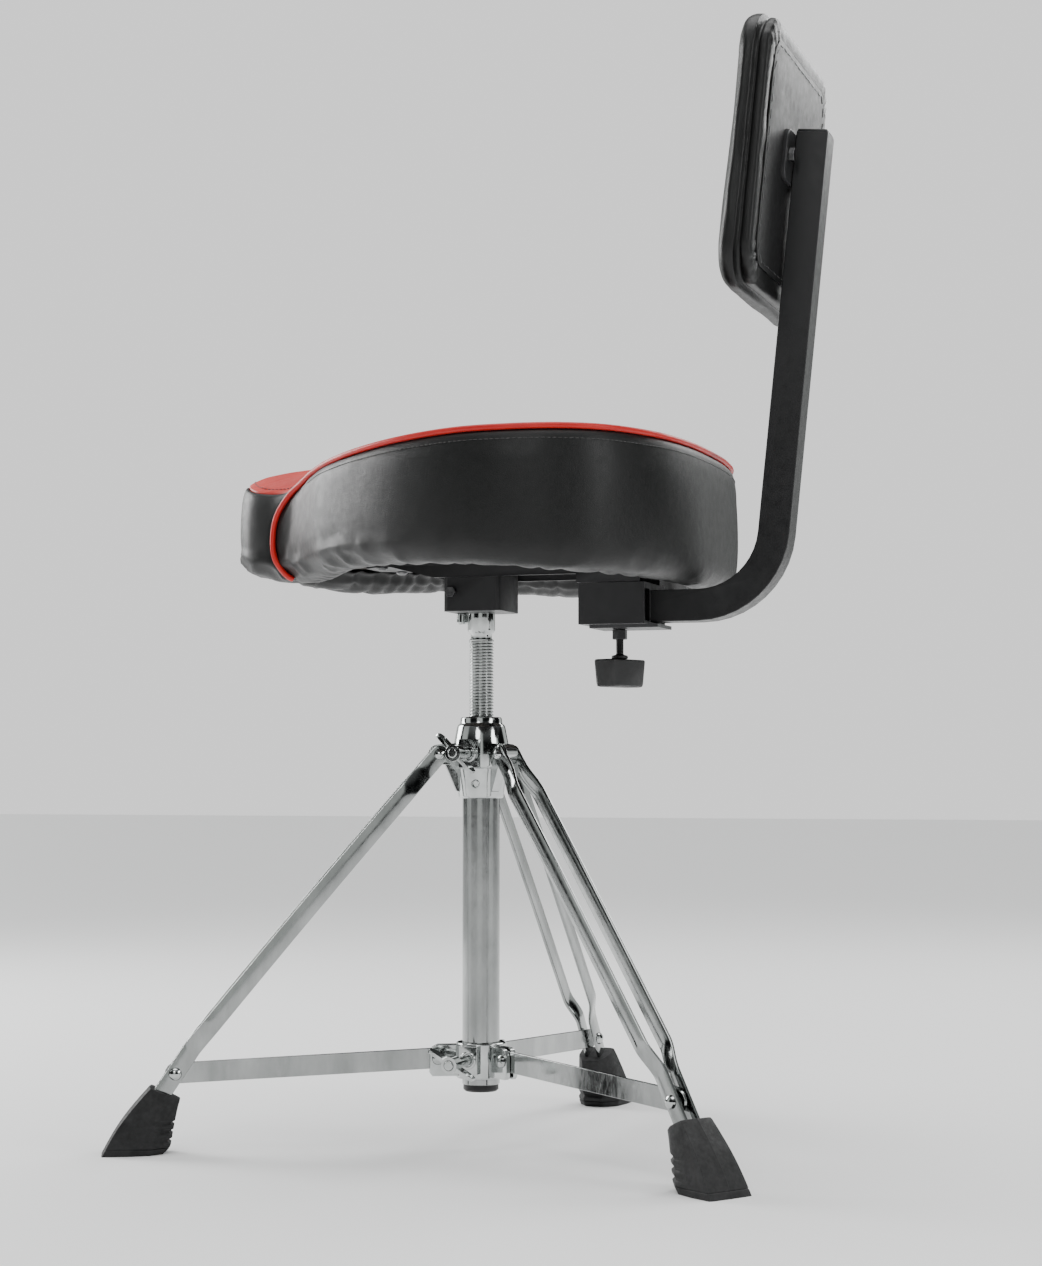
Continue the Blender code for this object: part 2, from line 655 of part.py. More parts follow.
def build_receiver(frame):
    steel = MADE["black_steel"]
    outline = rounded_box(RECEIVER_HALF, RECEIVER_HALF, 0.004, 2)
    receiver = prism("seat_receiver", outline, RECEIVER_BOTTOM, RECEIVER_TOP, steel, frame)
    boss_top = PLATE_UNDER - GAP
    boss = [(0, RECEIVER_TOP - 0.002), (0.0185, RECEIVER_TOP - 0.002),
            (0.0185, boss_top), (0, boss_top)]
    join_on(receiver, turned("receiver_boss", boss, 20, steel, frame))
    cut_round(receiver, "receiver_bore", ROD_HEAD_R + GAP, 0.420, ROD_TOP + 0.0006,
              (0, 0, 0), "Z", frame, sides=24)
    cut_box(receiver, "receiver_slit", (-0.0008, -0.030, 0.420), (0.0008, -0.005, 0.4562), frame)
    bolt_centre = (0, RECEIVER_BOLT_Y, RECEIVER_BOLT_Z)
    cut_round(receiver, "receiver_bolt_hole", 0.0027, -0.03, 0.03, bolt_centre, "X", frame,
              sides=12)
    face = RECEIVER_HALF + GAP
    shank = [(0, -face), (0.0024, -face), (0.0024, face), (0, face)]
    bolt = turned("receiver_bolt", shank, 12, MADE["bolt_steel"], frame, "X", bolt_centre)
    head = [(a + bolt_centre[1], b + bolt_centre[2]) for a, b in hexagon(0.0046)]
    join_on(bolt, prism("receiver_bolt_head", head, face - 0.0001, face + 0.0034,
                        MADE["bolt_steel"], frame, axis="X"))
    low, high = STOP_NUT_LOW, RECEIVER_BOTTOM - GAP
    nut_profile = [(0, low), (0.0036, low + 0.0002), (0.0050, low + 0.0016), (0.0050, high), (0, high)]
    turned("receiver_stop_nut", nut_profile, 12, MADE["chrome"], frame,
           centre=(-0.0070, -0.0185, 0))


def build_plate(frame):
    steel = MADE["black_steel"]
    outline = [
        (-0.014, PLATE_FRONT), (0.014, PLATE_FRONT), (PLATE_HALF, PLATE_FRONT + 0.020),
        (PLATE_HALF, PLATE_REAR), (-PLATE_HALF, PLATE_REAR), (-PLATE_HALF, PLATE_FRONT + 0.020),
    ]
    plate = prism("seat_mount_plate", outline, PLATE_UNDER, PLATE_TOP, steel, frame)
    flange = [
        (PLATE_FRONT + 0.022, PLATE_UNDER + 0.001), (-0.0300, FLANGE_LOW), (0.0900, FLANGE_LOW),
        (0.0905, FLANGE_REAR_LOW), (PLATE_REAR - 0.001, FLANGE_REAR_LOW),
        (PLATE_REAR - 0.001, PLATE_UNDER + 0.001),
    ]
    for word, low in (("left", PLATE_HALF - 0.0025), ("right", -PLATE_HALF)):
        name = f"mount_plate_{word}_flange"
        join_on(plate, prism(name, flange, low + 0.0001, low + 0.0024, steel, frame, axis="X"))
    for number, (x, y) in enumerate(SCREW_SPOTS, 1):
        cut_round(plate, f"plate_hole_{number}", 0.0028, 0.46, 0.475, (x, y, 0), "Z", frame,
                  sides=12)
        under = PLATE_UNDER - GAP
        screw = [
            (0, under - 0.0024), (0.0030, under - 0.0022), (0.0048, under - 0.0008),
            (0.0050, under), (0.0025, under), (0.0025, BOARD_BOTTOM + 0.008),
            (0, BOARD_BOTTOM + 0.010),
        ]
        turned(f"plate_screw_{number}", screw, 12, MADE["bolt_steel"], frame, centre=(x, y, 0))


# ---------------------------------------------------------------- seat
def seat_outline():
    """Round the seat: position, outward normal, top edge and rim underside."""
    half = [Vector(p) for p in SEAT_HALF]
    mirrored = [Vector((-p[0], *p[1:])) for p in reversed(half[1:-1])]
    loop = half + mirrored
    count = len(loop)
    stations = []
    for i, point in enumerate(loop):
        before, after = loop[i - 1], loop[(i + 1) % count]
        along = Vector((after[0] - before[0], after[1] - before[1])).normalized()
        stations.append((Vector((point[0], point[1])), Vector((along.y, -along.x)),
                         point[2], point[3]))
    return stations


def seat_ring(inset, height):
    """The outline drawn in by inset, at height(top edge, rim underside)."""
    ring = []
    for point, outward, top, rim in seat_outline():
        place = point - outward * inset
        ring.append(Vector((place.x, place.y, height(top, rim))))
    return ring


def scaled_ring(scale, rise, mixed, middle_z):
    """The outline scaled to its middle, rising from the top edge to the crown."""
    ring = []
    for point, _, top, _ in seat_outline():
        height = mix(top, middle_z, mixed) + rise
        ring.append(Vector((point.x * scale, point.y * scale, height)))
    return ring


# Cover's section from its hem under the board, over the rim and side, to the top:
# inset and height.
COVER_SECTION = [
    (0.050, lambda top, rim: BOARD_BOTTOM - 0.0024),
    (0.041, lambda top, rim: BOARD_BOTTOM - 0.0040),
    (0.036, lambda top, rim: rim + 0.004),
    (0.026, lambda top, rim: rim),
    (0.010, lambda top, rim: rim + 0.002),
    (0.002, lambda top, rim: rim + 0.012),
    (0.000, lambda top, rim: mix(rim, top, 0.45)),
    (0.001, lambda top, rim: mix(rim, top, 0.75)),
    (0.0055, lambda top, rim: top - 0.0035),
    (0.0068, lambda top, rim: top + 0.0005),
    (0.0120, lambda top, rim: top + 0.0035),
]
# Above it, the outline scaled to the seat's middle: scale, rise, and share of SEAT_MIDDLE.
CROWN_RINGS = [(0.80, 0.0075, 0.15), (0.45, 0.0030, 0.75)]


def skin_rings(depth):
    """The cover's surface at a depth below its outside, hem to crown."""
    rings = []
    for i, (inset, height) in enumerate(COVER_SECTION):
        up = {0: depth, 1: depth, 3: depth, 4: depth, 9: -depth, 10: -depth}.get(i, 0.0)
        side = {0: 0.0, 1: -depth, 2: -depth, 3: 0.0, 10: 0.0}.get(i, depth)
        rings.append(seat_ring(inset + side, lambda top, rim, h=height, u=up: h(top, rim) + u))
    for scale, rise, mixed in CROWN_RINGS:
        rings.append(scaled_ring(scale, rise - depth, mixed, SEAT_MIDDLE))
    return rings


def build_cover(frame):
    """A skin over the foam, open underneath where it is tacked to the board."""
    outside, inside = skin_rings(0.0), skin_rings(COVER_THICK)
    count = len(outside[0])
    rings = outside + [None] + list(reversed(inside))
    points, index = [], []
    for ring in rings:
        if ring is None:
            index.append(None)
            continue
        index.append(len(points))
        points += ring
    crown_out, crown_in = len(points), len(points) + 1
    peak = SEAT_MIDDLE + CROWN_RISE
    points += [Vector((0, 0, peak)), Vector((0, 0, peak - COVER_THICK))]
    faces = []
    steps = list(zip(index, index[1:] + index[:1]))
    for near, far in steps:
        for i in range(count):
            j = (i + 1) % count
            if near is None:
                faces.append((crown_in, far + j, far + i))
            elif far is None:
                faces.append((near + i, near + j, crown_out))
            else:
                faces.append((near + i, near + j, far + j, far + i))
    solid("seat_cover", points, faces, MADE["black_leather"], frame)


def board_ring(height, inset=BOARD_INSET):
    return seat_ring(inset, lambda top, rim: height)


def build_foam(frame):
    pocket = BOARD_INSET - GAP
    depth = COVER_THICK + FOAM_SLACK
    inner = skin_rings(depth)
    rings = [
        board_ring(BOARD_TOP + GAP, pocket),
        board_ring(BOARD_BOTTOM + 0.0010, pocket),
        board_ring(BOARD_BOTTOM + 0.0008, 0.0360),
    ]
    rings += inner[2:]
    start = Vector((0, 0, BOARD_TOP + GAP))
    tip = Vector((0, 0, SEAT_MIDDLE + CROWN_RISE - depth))
    dome_loft("seat_foam", rings, tip, MADE["foam"], frame, start=start)


def build_board(frame):
    board = loft("seat_board", [board_ring(BOARD_BOTTOM), board_ring(BOARD_TOP)],
                 MADE["plywood"], frame)
    for number, (x, y) in enumerate(SCREW_SPOTS, 1):
        cut_round(board, f"board_hole_{number}", 0.0028, 0.46, BOARD_BOTTOM + 0.0105,
                  (x, y, 0), "Z", frame, sides=12)


def tube_rings(path, radius, sides, closed):
    """Rings of a round tube along a path, kept upright."""
    rings = []
    count = len(path)
    for i, point in enumerate(path):
        before = path[i - 1] if closed or i else point
        after = path[(i + 1) % count] if closed or i + 1 < count else point
        along = (after - before).normalized()
        side = along.cross(Vector((0, 0, 1)))
        if side.length < 0.3:
            side = along.cross(Vector((0, 1, 0)))
        side.normalize()
        up = side.cross(along)
        rings.append([
            point + radius * (side * math.cos(t) + up * math.sin(t))
            for t in (math.tau * k / sides for k in range(sides))
        ])
    return rings


def build_piping(frame):
    """One cord round the top edge, open at the nose, and one down each nose seam."""
    ring = seat_ring(0.0026, lambda top, rim: top + 0.0002)
    path = ring[SEAM_STATION:len(ring) - SEAM_STATION + 1]
    loft("seat_piping", tube_rings(path, PIPING_R, 8, False), MADE["red_piping"], frame)
    for word, side in (("left", 1), ("right", -1)):
        station = SEAM_STATION if side > 0 else -SEAM_STATION
        point, outward, top, rim = seat_outline()[station]
        levels = [(0.0022, 0.88), (-0.0014, 0.75), (-0.0026, 0.45), (-0.0010, 0.20), (0.0030, 0.10)]
        path = []
        for inset, share in levels:
            place = point - outward * (inset - 0.0012)
            path.append(Vector((place.x, place.y, mix(rim, top, share))))
        loft(f"nose_piping_{word}", tube_rings(path, PIPING_R, 8, False),
             MADE["red_piping"], frame)


# ---------------------------------------------------------------- backrest clamp
def build_clamp(frame):
    steel = MADE["black_steel"]
    low, high = CLAMP_LOW, CLAMP_HIGH
    clamp = box("clamp_housing", (-CLAMP_HALF, CLAMP_FRONT, low), (CLAMP_HALF, CLAMP_REAR, high),
                steel, frame)
    lip = box("clamp_lip", (-0.021, CLAMP_FRONT + 0.006, CLAMP_LIP_LOW),
              (0.021, CLAMP_REAR + 0.008, low + 0.0002), steel, frame)
    join_on(clamp, lip)
    hole = BAR_HALF + GAP
    cut_box(clamp, "clamp_tunnel", (-hole, 0.05, BAR_Z - hole), (hole, 0.20, BAR_Z + hole), frame)
    for word, side in (("left", 1), ("right", -1)):
        near, far = sorted((side * (hole + CLAMP_WALL), side * (CLAMP_HALF - CLAMP_WALL)))
        cut_box(clamp, f"clamp_{word}_cell", (near, 0.05, low + CLAMP_WALL),
                (far, 0.20, high - 2 * CLAMP_WALL), frame)
    centre = (0, CLAMP_SCREW_Y, 0)
    cut_round(clamp, "clamp_screw_hole", 0.0036, 0.40, 0.425, centre, "Z", frame)

    nut_top = CLAMP_LIP_LOW - GAP
    nut = [(0.0062, nut_top), (0.0062, CLAMP_NUT_LOW), (0.0036, CLAMP_NUT_LOW), (0.0036, nut_top)]
    turned("clamp_nut", nut, 6, steel, frame, centre=centre)


def build_knob(frame):
    """Built in a frame on the clamp screw's axis, at floor height."""
    steel = MADE["black_steel"]
    bar_under = BAR_Z - BAR_HALF
    tip = bar_under - GAP
    screw = [
        (0, tip), (0.0030, tip), (0.0030, 0.3930), (0.0066, 0.3920), (0.0066, KNOB_TOP + 0.0006),
        (0.0040, KNOB_TOP + 0.0006), (0.0040, KNOB_BOTTOM + 0.006), (0, KNOB_BOTTOM + 0.006),
    ]
    turned("clamp_screw", screw, 16, steel, frame)
    side = empty("knob_handle_frame", (0, 0, 0), KNOB_AZIMUTH, frame)
    top = [(a, b, KNOB_TOP) for a, b in rounded_box(0.0212, 0.0106, 0.0035)]
    low = [(a * 0.93, b * 0.88, KNOB_BOTTOM + 0.0015) for a, b, _ in top]
    base = [(a * 0.88, b * 0.80, KNOB_BOTTOM) for a, b, _ in top]
    rings = [[Vector(p) for p in ring] for ring in (base, low, top)]
    handle = loft("knob_handle", rings, MADE["black_plastic"], side)
    cut_round(handle, "knob_bore", 0.0043, KNOB_BOTTOM + 0.0055, KNOB_TOP + 0.01, (0, 0, 0), "Z",
              side)


# ---------------------------------------------------------------- backrest
def upright_centre(height):
    """The upright's centre line at a height."""
    rear = BAR_REAR_FACE_Y + (height - BAR_REAR_FACE_Z) * math.tan(BAR_LEAN)
    return rear - BAR_HALF / math.cos(BAR_LEAN)


def bar_path():
    """Stations of the bar's centre line, with the direction at each."""
    corner = upright_centre(BAR_Z)
    turn = math.pi / 2 - BAR_LEAN
    tangent = BAR_BEND_R * math.tan(turn / 2)
    start = Vector((0, corner - tangent, BAR_Z))
    centre = start + Vector((0, 0, BAR_BEND_R))
    stations = [(Vector((0, BAR_FRONT, BAR_Z)), 0.0)]
    steps = 10
    for step in range(steps + 1):
        angle = turn * step / steps
        swing = Vector((0, math.sin(angle), -math.cos(angle))) * BAR_BEND_R
        stations.append((centre + swing, angle))
    stations.append((Vector((0, upright_centre(BAR_TOP_Z), BAR_TOP_Z)), turn))
    return stations


def square_ring(point, angle, half):
    up = Vector((0, -math.sin(angle), math.cos(angle)))
    side = Vector((1, 0, 0))
    return [point + side * a * half + up * b * half
            for a, b in ((1, 1), (-1, 1), (-1, -1), (1, -1))]


def build_bar(frame):
    stations = bar_path()
    outside = [square_ring(p, a, BAR_HALF) for p, a in stations]
    inside = [square_ring(p, a, BAR_HALF - BAR_WALL) for p, a in stations]
    loft("backrest_bar", outside + list(reversed(inside)), MADE["black_steel"], frame, closed=True)
    point, angle = stations[-1]
    along = Vector((0, math.cos(angle), math.sin(angle)))
    fit = BAR_HALF - BAR_WALL - GAP
    rings = [
        square_ring(point - along * 0.010, angle, fit), square_ring(point + along * GAP, angle, fit),
        square_ring(point + along * GAP, angle, BAR_HALF - 0.0003),
        square_ring(point + along * 0.0022, angle, BAR_HALF - 0.0012),
    ]
    loft("bar_end_cap", rings, MADE["black_plastic"], frame)


def pad_ring(inset, depth, bulge=0.0):
    """The pad's outline drawn in by inset, at a depth in front of its back."""
    corner = max(PAD_CORNER - inset, 0.006)
    outline = rounded_box(PAD_HALF_WIDTH - inset, PAD_HALF_HEIGHT - inset, corner, 4)
    return [Vector((a, -depth - bulge, b)) for a, b in outline]


def build_pad(frame):
    """Built in a frame on the pad's back face, its Z up the leaning pad."""
    board = loft("backrest_board", [pad_ring(0.0050, 0.0), pad_ring(0.0050, PAD_BOARD)],
                 MADE["plywood"], frame)
    rings = [
        pad_ring(0.0020, PAD_BOARD + GAP), pad_ring(0.0, PAD_BOARD + 0.004),
        pad_ring(0.0, 0.0160), pad_ring(0.0035, 0.0215), pad_ring(0.0130, PAD_EDGE + 0.0025),
        pad_ring(0.0450, PAD_EDGE + 0.0080),
    ]
    tip = Vector((0, -PAD_EDGE - PAD_CROWN, 0))
    dome_loft("backrest_cushion", rings, tip, MADE["black_leather"], frame)

    plate = rounded_box(0.0380, 0.0200, 0.0100)
    middle = 0.0110       # the bracket's height above the pad's middle
    rings = [[Vector((a, depth, b + middle)) for a, b in plate]
             for depth in (GAP, GAP + BRACKET_THICK)]
    bracket = loft("backrest_bracket", rings, MADE["black_steel"], frame)
    for word, x in (("left", 0.0270), ("right", -0.0270)):
        for piece, name in ((bracket, "bracket"), (board, "board")):
            cut_round(piece, f"{name}_{word}_hole", HOLE_R, -PAD_BOARD - 0.001, 0.010,
                      (x, 0, middle), "Y", frame, sides=12)
        face = BRACKET_THICK + 2 * GAP
        tip_depth = -PAD_BOARD + 0.001
        shank = [(0, tip_depth), (RIVET_R, tip_depth), (RIVET_R, face), (0, face)]
        bolt = turned(f"bracket_bolt_{word}", shank, 12, MADE["bolt_steel"], frame, "Y",
                      (x, 0, middle))
        head = [(a + x, b + middle) for a, b in hexagon(0.0058)]
        join_on(bolt, prism(f"bracket_bolt_{word}_head", head, face - 0.0001, face + 0.0042,
                            MADE["bolt_steel"], frame, axis="Y"))


# ---------------------------------------------------------------- assembly
def build_throne():
    root = empty("throne", (AXIS_X, AXIS_Y, 0))
    build_post(root)
    build_hub(root)
    hub_side = empty("hub_lock_axis", (0, 0, HUB_LOCK_Z), LOCK_AZIMUTH, root)
    build_wing_bolt("hub_lock", hub_side, ROD_R + 0.0004, HUB_BOLT_END, 45)
    for letter in LEG_AZIMUTHS:
        build_leg(letter, root)

    collar = empty("collar_slide", (0, 0, 0), 0, root)
    build_collar(collar)
    lock_side = empty("collar_lock_axis", (0, 0, COLLAR_PIVOT_Z), LOCK_AZIMUTH, collar)
    build_wing_bolt("collar_lock", lock_side, POST_R + 0.0004, COLLAR_BOLT_END, 60)
    for letter in LEG_AZIMUTHS:
        build_strut(letter, collar)

    rod = empty("rod_axis", (0, 0, 0), 0, root)
    build_rod(rod)
    seat = empty("seat_axis", (0, 0, 0), 0, rod)
    build_receiver(seat)
    build_plate(seat)
    build_board(seat)
    build_foam(seat)
    build_cover(seat)
    build_piping(seat)
    build_clamp(seat)
    knob = empty("knob_axis", (0, CLAMP_SCREW_Y, 0), 0, seat)
    build_knob(knob)

    backrest = empty("backrest_slide", (0, 0, 0), 0, seat)
    build_bar(backrest)
    bar_front_face = upright_centre(PAD_CENTRE_Z) - BAR_HALF / math.cos(BAR_LEAN)
    pad_back = bar_front_face - (BRACKET_THICK + 2 * GAP) / math.cos(BAR_LEAN)
    pad = empty("pad_back", (0, pad_back, PAD_CENTRE_Z), 0, backrest, lean=-BAR_LEAN)
    build_pad(pad)


clear_scene()
MADE = make_materials()
build_throne()
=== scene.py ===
"""The looks of the drum throne: a chrome tripod, a black upholstered saddle seat with
red piping, and a padded backrest on a bent black bar.

Metres, in the CAD model's own frame. Most of the hardware is rebuilt here with fine
edges; the soft parts are built as sewn panels over the space that the CAD gives them.
"""

import json
import math

import bmesh
import bpy
import numpy as np
from mathutils import Matrix, Vector, noise
from mathutils.bvhtree import BVHTree
from mathutils.kdtree import KDTree

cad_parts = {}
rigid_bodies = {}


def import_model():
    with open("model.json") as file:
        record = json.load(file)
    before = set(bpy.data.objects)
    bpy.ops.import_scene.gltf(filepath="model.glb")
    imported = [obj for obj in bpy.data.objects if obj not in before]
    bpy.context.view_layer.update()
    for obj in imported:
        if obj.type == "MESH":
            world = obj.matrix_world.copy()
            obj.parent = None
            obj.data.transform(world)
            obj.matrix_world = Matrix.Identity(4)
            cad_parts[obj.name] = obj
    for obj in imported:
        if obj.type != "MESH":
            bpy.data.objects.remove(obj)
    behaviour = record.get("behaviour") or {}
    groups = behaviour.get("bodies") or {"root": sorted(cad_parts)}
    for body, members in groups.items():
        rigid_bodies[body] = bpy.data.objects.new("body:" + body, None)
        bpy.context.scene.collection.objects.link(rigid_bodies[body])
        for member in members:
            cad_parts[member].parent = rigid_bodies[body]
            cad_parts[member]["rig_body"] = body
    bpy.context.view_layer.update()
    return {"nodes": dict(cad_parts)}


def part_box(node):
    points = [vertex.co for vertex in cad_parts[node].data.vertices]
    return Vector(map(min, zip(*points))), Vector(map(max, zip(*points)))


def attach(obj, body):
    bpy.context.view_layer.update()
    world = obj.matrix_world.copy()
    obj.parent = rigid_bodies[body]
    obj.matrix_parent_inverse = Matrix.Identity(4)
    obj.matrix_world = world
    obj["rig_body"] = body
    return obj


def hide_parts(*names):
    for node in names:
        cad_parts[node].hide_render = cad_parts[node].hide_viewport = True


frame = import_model()

# ---------------------------------------------------------------- sizes from the design
POST_LOW, POST_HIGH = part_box("post_tube")
AXIS = Vector(((POST_LOW.x + POST_HIGH.x) / 2, (POST_LOW.y + POST_HIGH.y) / 2, 0))
POST_R = (POST_HIGH.x - POST_LOW.x) / 2
LEG_AZIMUTHS = {"a": -64.4, "b": 55.6, "c": 175.6}
LOCK_AZIMUTH = -4.4
SET_SCREW_AZIMUTH, SET_SCREW_Z = 6.0, 0.2900

HUB_BOTTOM, HUB_TOP = 0.2786, 0.3440
HUB_PIVOT = (0.0345, 0.3140)          # radius and height
HUB_LOCK_Z, LUG_HALF, BOSS_REACH = 0.3145, 0.00545, 0.0258
POST_WALL, BORE_GAP = 0.0015, 0.0003
LEG_BEND = (0.2290, 0.0830)
LEG_RIVET = (0.2430, 0.0620)
LEG_BURIED = 0.0385
STRAP_WIDTH, STRAP_THICK = 0.0140, 0.00275
STRAP_TOP_GAP, STRAP_WIDE_GAP, STRAP_LOW_GAP = 0.00575, 0.0105, 0.0045
COLLAR_LOW, COLLAR_HIGH = 0.0550, 0.0836
COLLAR_R = 0.0200
COLLAR_PIVOT = (0.0350, 0.0710)
EAR_INNER, EAR_OUTER = 0.0016, 0.0056
STRUT_WIDTH, STRUT_THICK = 0.0165, 0.0025
FOOT_HEIGHT = 0.0520
ROD_R, ROD_BOTTOM, ROD_THREAD_TOP, ROD_TOP = 0.0100, 0.2000, 0.4066, 0.4550
THREAD_PITCH, THREAD_DEPTH = 0.0025, 0.0009
BOARD_BOTTOM = 0.4705
PIPING_R = 0.0023
PAD_HALF_WIDTH, PAD_HALF_HEIGHT, PAD_CORNER = 0.1100, 0.1050, 0.0320
BAR_LEAN = math.radians(6.0)

# Half of the seat's outline from the post's axis, front to rear: x, y, height of the
# top edge and height of the rim's underside.
SEAT_HALF = [
    (0.000, -0.2030, 0.5380, 0.4610),
    (0.036, -0.1980, 0.5350, 0.4600),
    (0.062, -0.1800, 0.5275, 0.4570),
    (0.073, -0.1500, 0.5240, 0.4530),
    (0.086, -0.1280, 0.5290, 0.4520),
    (0.108, -0.1080, 0.5340, 0.4540),
    (0.137, -0.0820, 0.5375, 0.4560),
    (0.166, -0.0450, 0.5415, 0.4560),
    (0.191, 0.0000, 0.5450, 0.4540),
    (0.206, 0.0480, 0.5475, 0.4520),
    (0.209, 0.0900, 0.5480, 0.4490),
    (0.199, 0.1300, 0.5485, 0.4460),
    (0.171, 0.1620, 0.5490, 0.4450),
    (0.119, 0.1850, 0.5495, 0.4450),
    (0.060, 0.1940, 0.5500, 0.4460),
    (0.000, 0.1960, 0.5500, 0.4465),
]
STEPS = 14                # samples between two of the outline's points
SEAT_PEAK = 0.5600
SIDE_TALL = 0.0800        # about the side panel's height
PATCH_EDGE = -0.1180      # the red nose patch ends here, across the top
LEATHER_THICK = 0.0011

# ---------------------------------------------------------------- node materials
def new_material(name):
    material = bpy.data.materials.new(name)
    material.use_nodes = True
    return material, material.node_tree, material.node_tree.nodes["Principled BSDF"]


def add(tree, kind, links=None, **settings):
    """A node with settings; links gives its inputs values or other nodes' outputs."""
    made = tree.nodes.new(kind)
    for key, value in settings.items():
        setattr(made, key, value)
    for key, value in (links or {}).items():
        if isinstance(value, bpy.types.NodeSocket):
            tree.links.new(value, made.inputs[key])
        else:
            made.inputs[key].default_value = value
    return made


def ramp(tree, factor, stops):
    """A colour ramp; stops are (position, colour or grey)."""
    made = add(tree, "ShaderNodeValToRGB", {"Fac": factor})
    elements = made.color_ramp.elements
    while len(elements) < len(stops):
        elements.new(0.5)
    for element, (position, colour) in zip(elements, stops):
        element.position = position
        grey = isinstance(colour, (int, float))
        element.color = (colour, colour, colour, 1) if grey else (*colour, 1)
    return made.outputs["Color"]


def noise_at(tree, scale, detail=4.0, roughness=0.5, stretch=(1, 1, 1)):
    place = add(tree, "ShaderNodeTexCoord").outputs["Object"]
    spread = add(tree, "ShaderNodeMapping", {"Vector": place, "Scale": stretch})
    made = add(tree, "ShaderNodeTexNoise", {
        "Vector": spread.outputs["Vector"], "Scale": scale, "Detail": detail,
        "Roughness": roughness,
    })
    return made.outputs["Fac"]


def bump(tree, height, strength, distance, below=None):
    links = {"Height": height, "Strength": strength, "Distance": distance}
    if below is not None:
        links["Normal"] = below
    return add(tree, "ShaderNodeBump", links).outputs["Normal"]


def math_node(tree, operation, *values):
    inputs = dict(enumerate(values))
    return add(tree, "ShaderNodeMath", inputs, operation=operation).outputs[0]


def mix_node(tree, factor, first, second):
    """A mix of one colour socket and one colour."""
    made = add(tree, "ShaderNodeMix", data_type="RGBA")
    tree.links.new(factor, made.inputs["Factor"])
    tree.links.new(first, made.inputs["A"])
    made.inputs["B"].default_value = second
    return made.outputs["Result"]


def surface(name, colour, roughness, bumps, settings):
    """A material. colour and roughness are (noise, stops), bumps are (noise, strength,
    distance) from the broadest to the finest, settings are the shader's own values, and
    a noise is noise_at's arguments."""
    material, tree, shader = new_material(name)
    for socket, value in settings.items():
        shader.inputs[socket].default_value = value
    for socket, look in (("Base Color", colour), ("Roughness", roughness)):
        if look:
            pattern, stops = look
            tree.links.new(ramp(tree, noise_at(tree, *pattern), stops), shader.inputs[socket])
    normal = None
    for pattern, strength, distance in bumps:
        normal = bump(tree, noise_at(tree, *pattern), strength, distance, normal)
    tree.links.new(normal, shader.inputs["Normal"])
    return material


def chrome_material(name, low=0.05, high=0.17, stretch=(1, 1, 1), painted_shade_tone=1.0):
    """Chrome plate with faint smears and scuffs over a slightly wavy skin; a tone below 1 dims
    its colour as painted shade.
    """
    dull, clean = (tuple(painted_shade_tone * c for c in colour)
                   for colour in ((0.38, 0.395, 0.39), (0.54, 0.555, 0.55)))
    scuffs = (240, 8, 0.7, stretch)
    return surface(name, ((38, 6, 0.6, stretch), [(0.35, dull), (0.65, clean)]),
                   (scuffs, [(0.35, low), (0.75, high)]),
                   [((55, 2, 0.4), 0.10, 0.0009), (scuffs, 0.03, 0.0002)], {"Metallic": 1.0})


def steel_material(name, dark, light):
    return surface(name, ((210, 6), [(0.3, dark), (0.75, light)]),
                   ((600, 4), [(0.3, 0.28), (0.75, 0.46)]),
                   [((1500, 3), 0.2, 0.0001)], {"Metallic": 1.0})


def coated_material(name, dark, light, wear):
    """Powder coat: an orange-peel skin, with its edges worn a little lighter."""
    material = surface(name, None, ((160, 6), [(0.3, 0.30), (0.75, 0.46)]),
                       [((1300, 2), 0.22, 0.00025)], {"Specular IOR Level": 0.30})
    tree = material.node_tree
    body = ramp(tree, noise_at(tree, 30, 5), [(0.3, dark), (0.75, light)])
    edge = add(tree, "ShaderNodeNewGeometry").outputs["Pointiness"]
    worn = ramp(tree, edge, [(0.52, 0.0), (0.60, 1.0)])
    coat = mix_node(tree, worn, body, (*wear, 1))
    tree.links.new(coat, tree.nodes["Principled BSDF"].inputs["Base Color"])
    return material


def leather_material(name, dark, light, low=0.34, high=0.50, grain=0.30):
    """Synthetic leather: small cells with creases between them, and soft mottling."""
    material = surface(
        name, ((22, 6, 0.6), [(0.3, dark), (0.75, light)]),
        ((130, 7, 0.65), [(0.3, low), (0.75, high)]), [((95, 4, 0.55), 0.16, 0.0011)],
        {"Specular IOR Level": 0.32, "Coat Weight": 0.04, "Coat Roughness": 0.30})
    tree = material.node_tree
    place = add(tree, "ShaderNodeTexCoord").outputs["Object"]
    cells = add(tree, "ShaderNodeTexVoronoi", {"Vector": place, "Scale": 820},
                feature="DISTANCE_TO_EDGE").outputs["Distance"]
    creases = ramp(tree, cells, [(0.0, 0.0), (0.12, 1.0)])
    normal = tree.nodes["Principled BSDF"].inputs["Normal"]
    broad = normal.links[0].from_socket
    tree.links.new(bump(tree, creases, grain, 0.00022, broad), normal)
    return material


CHROME = chrome_material("chrome_plate")
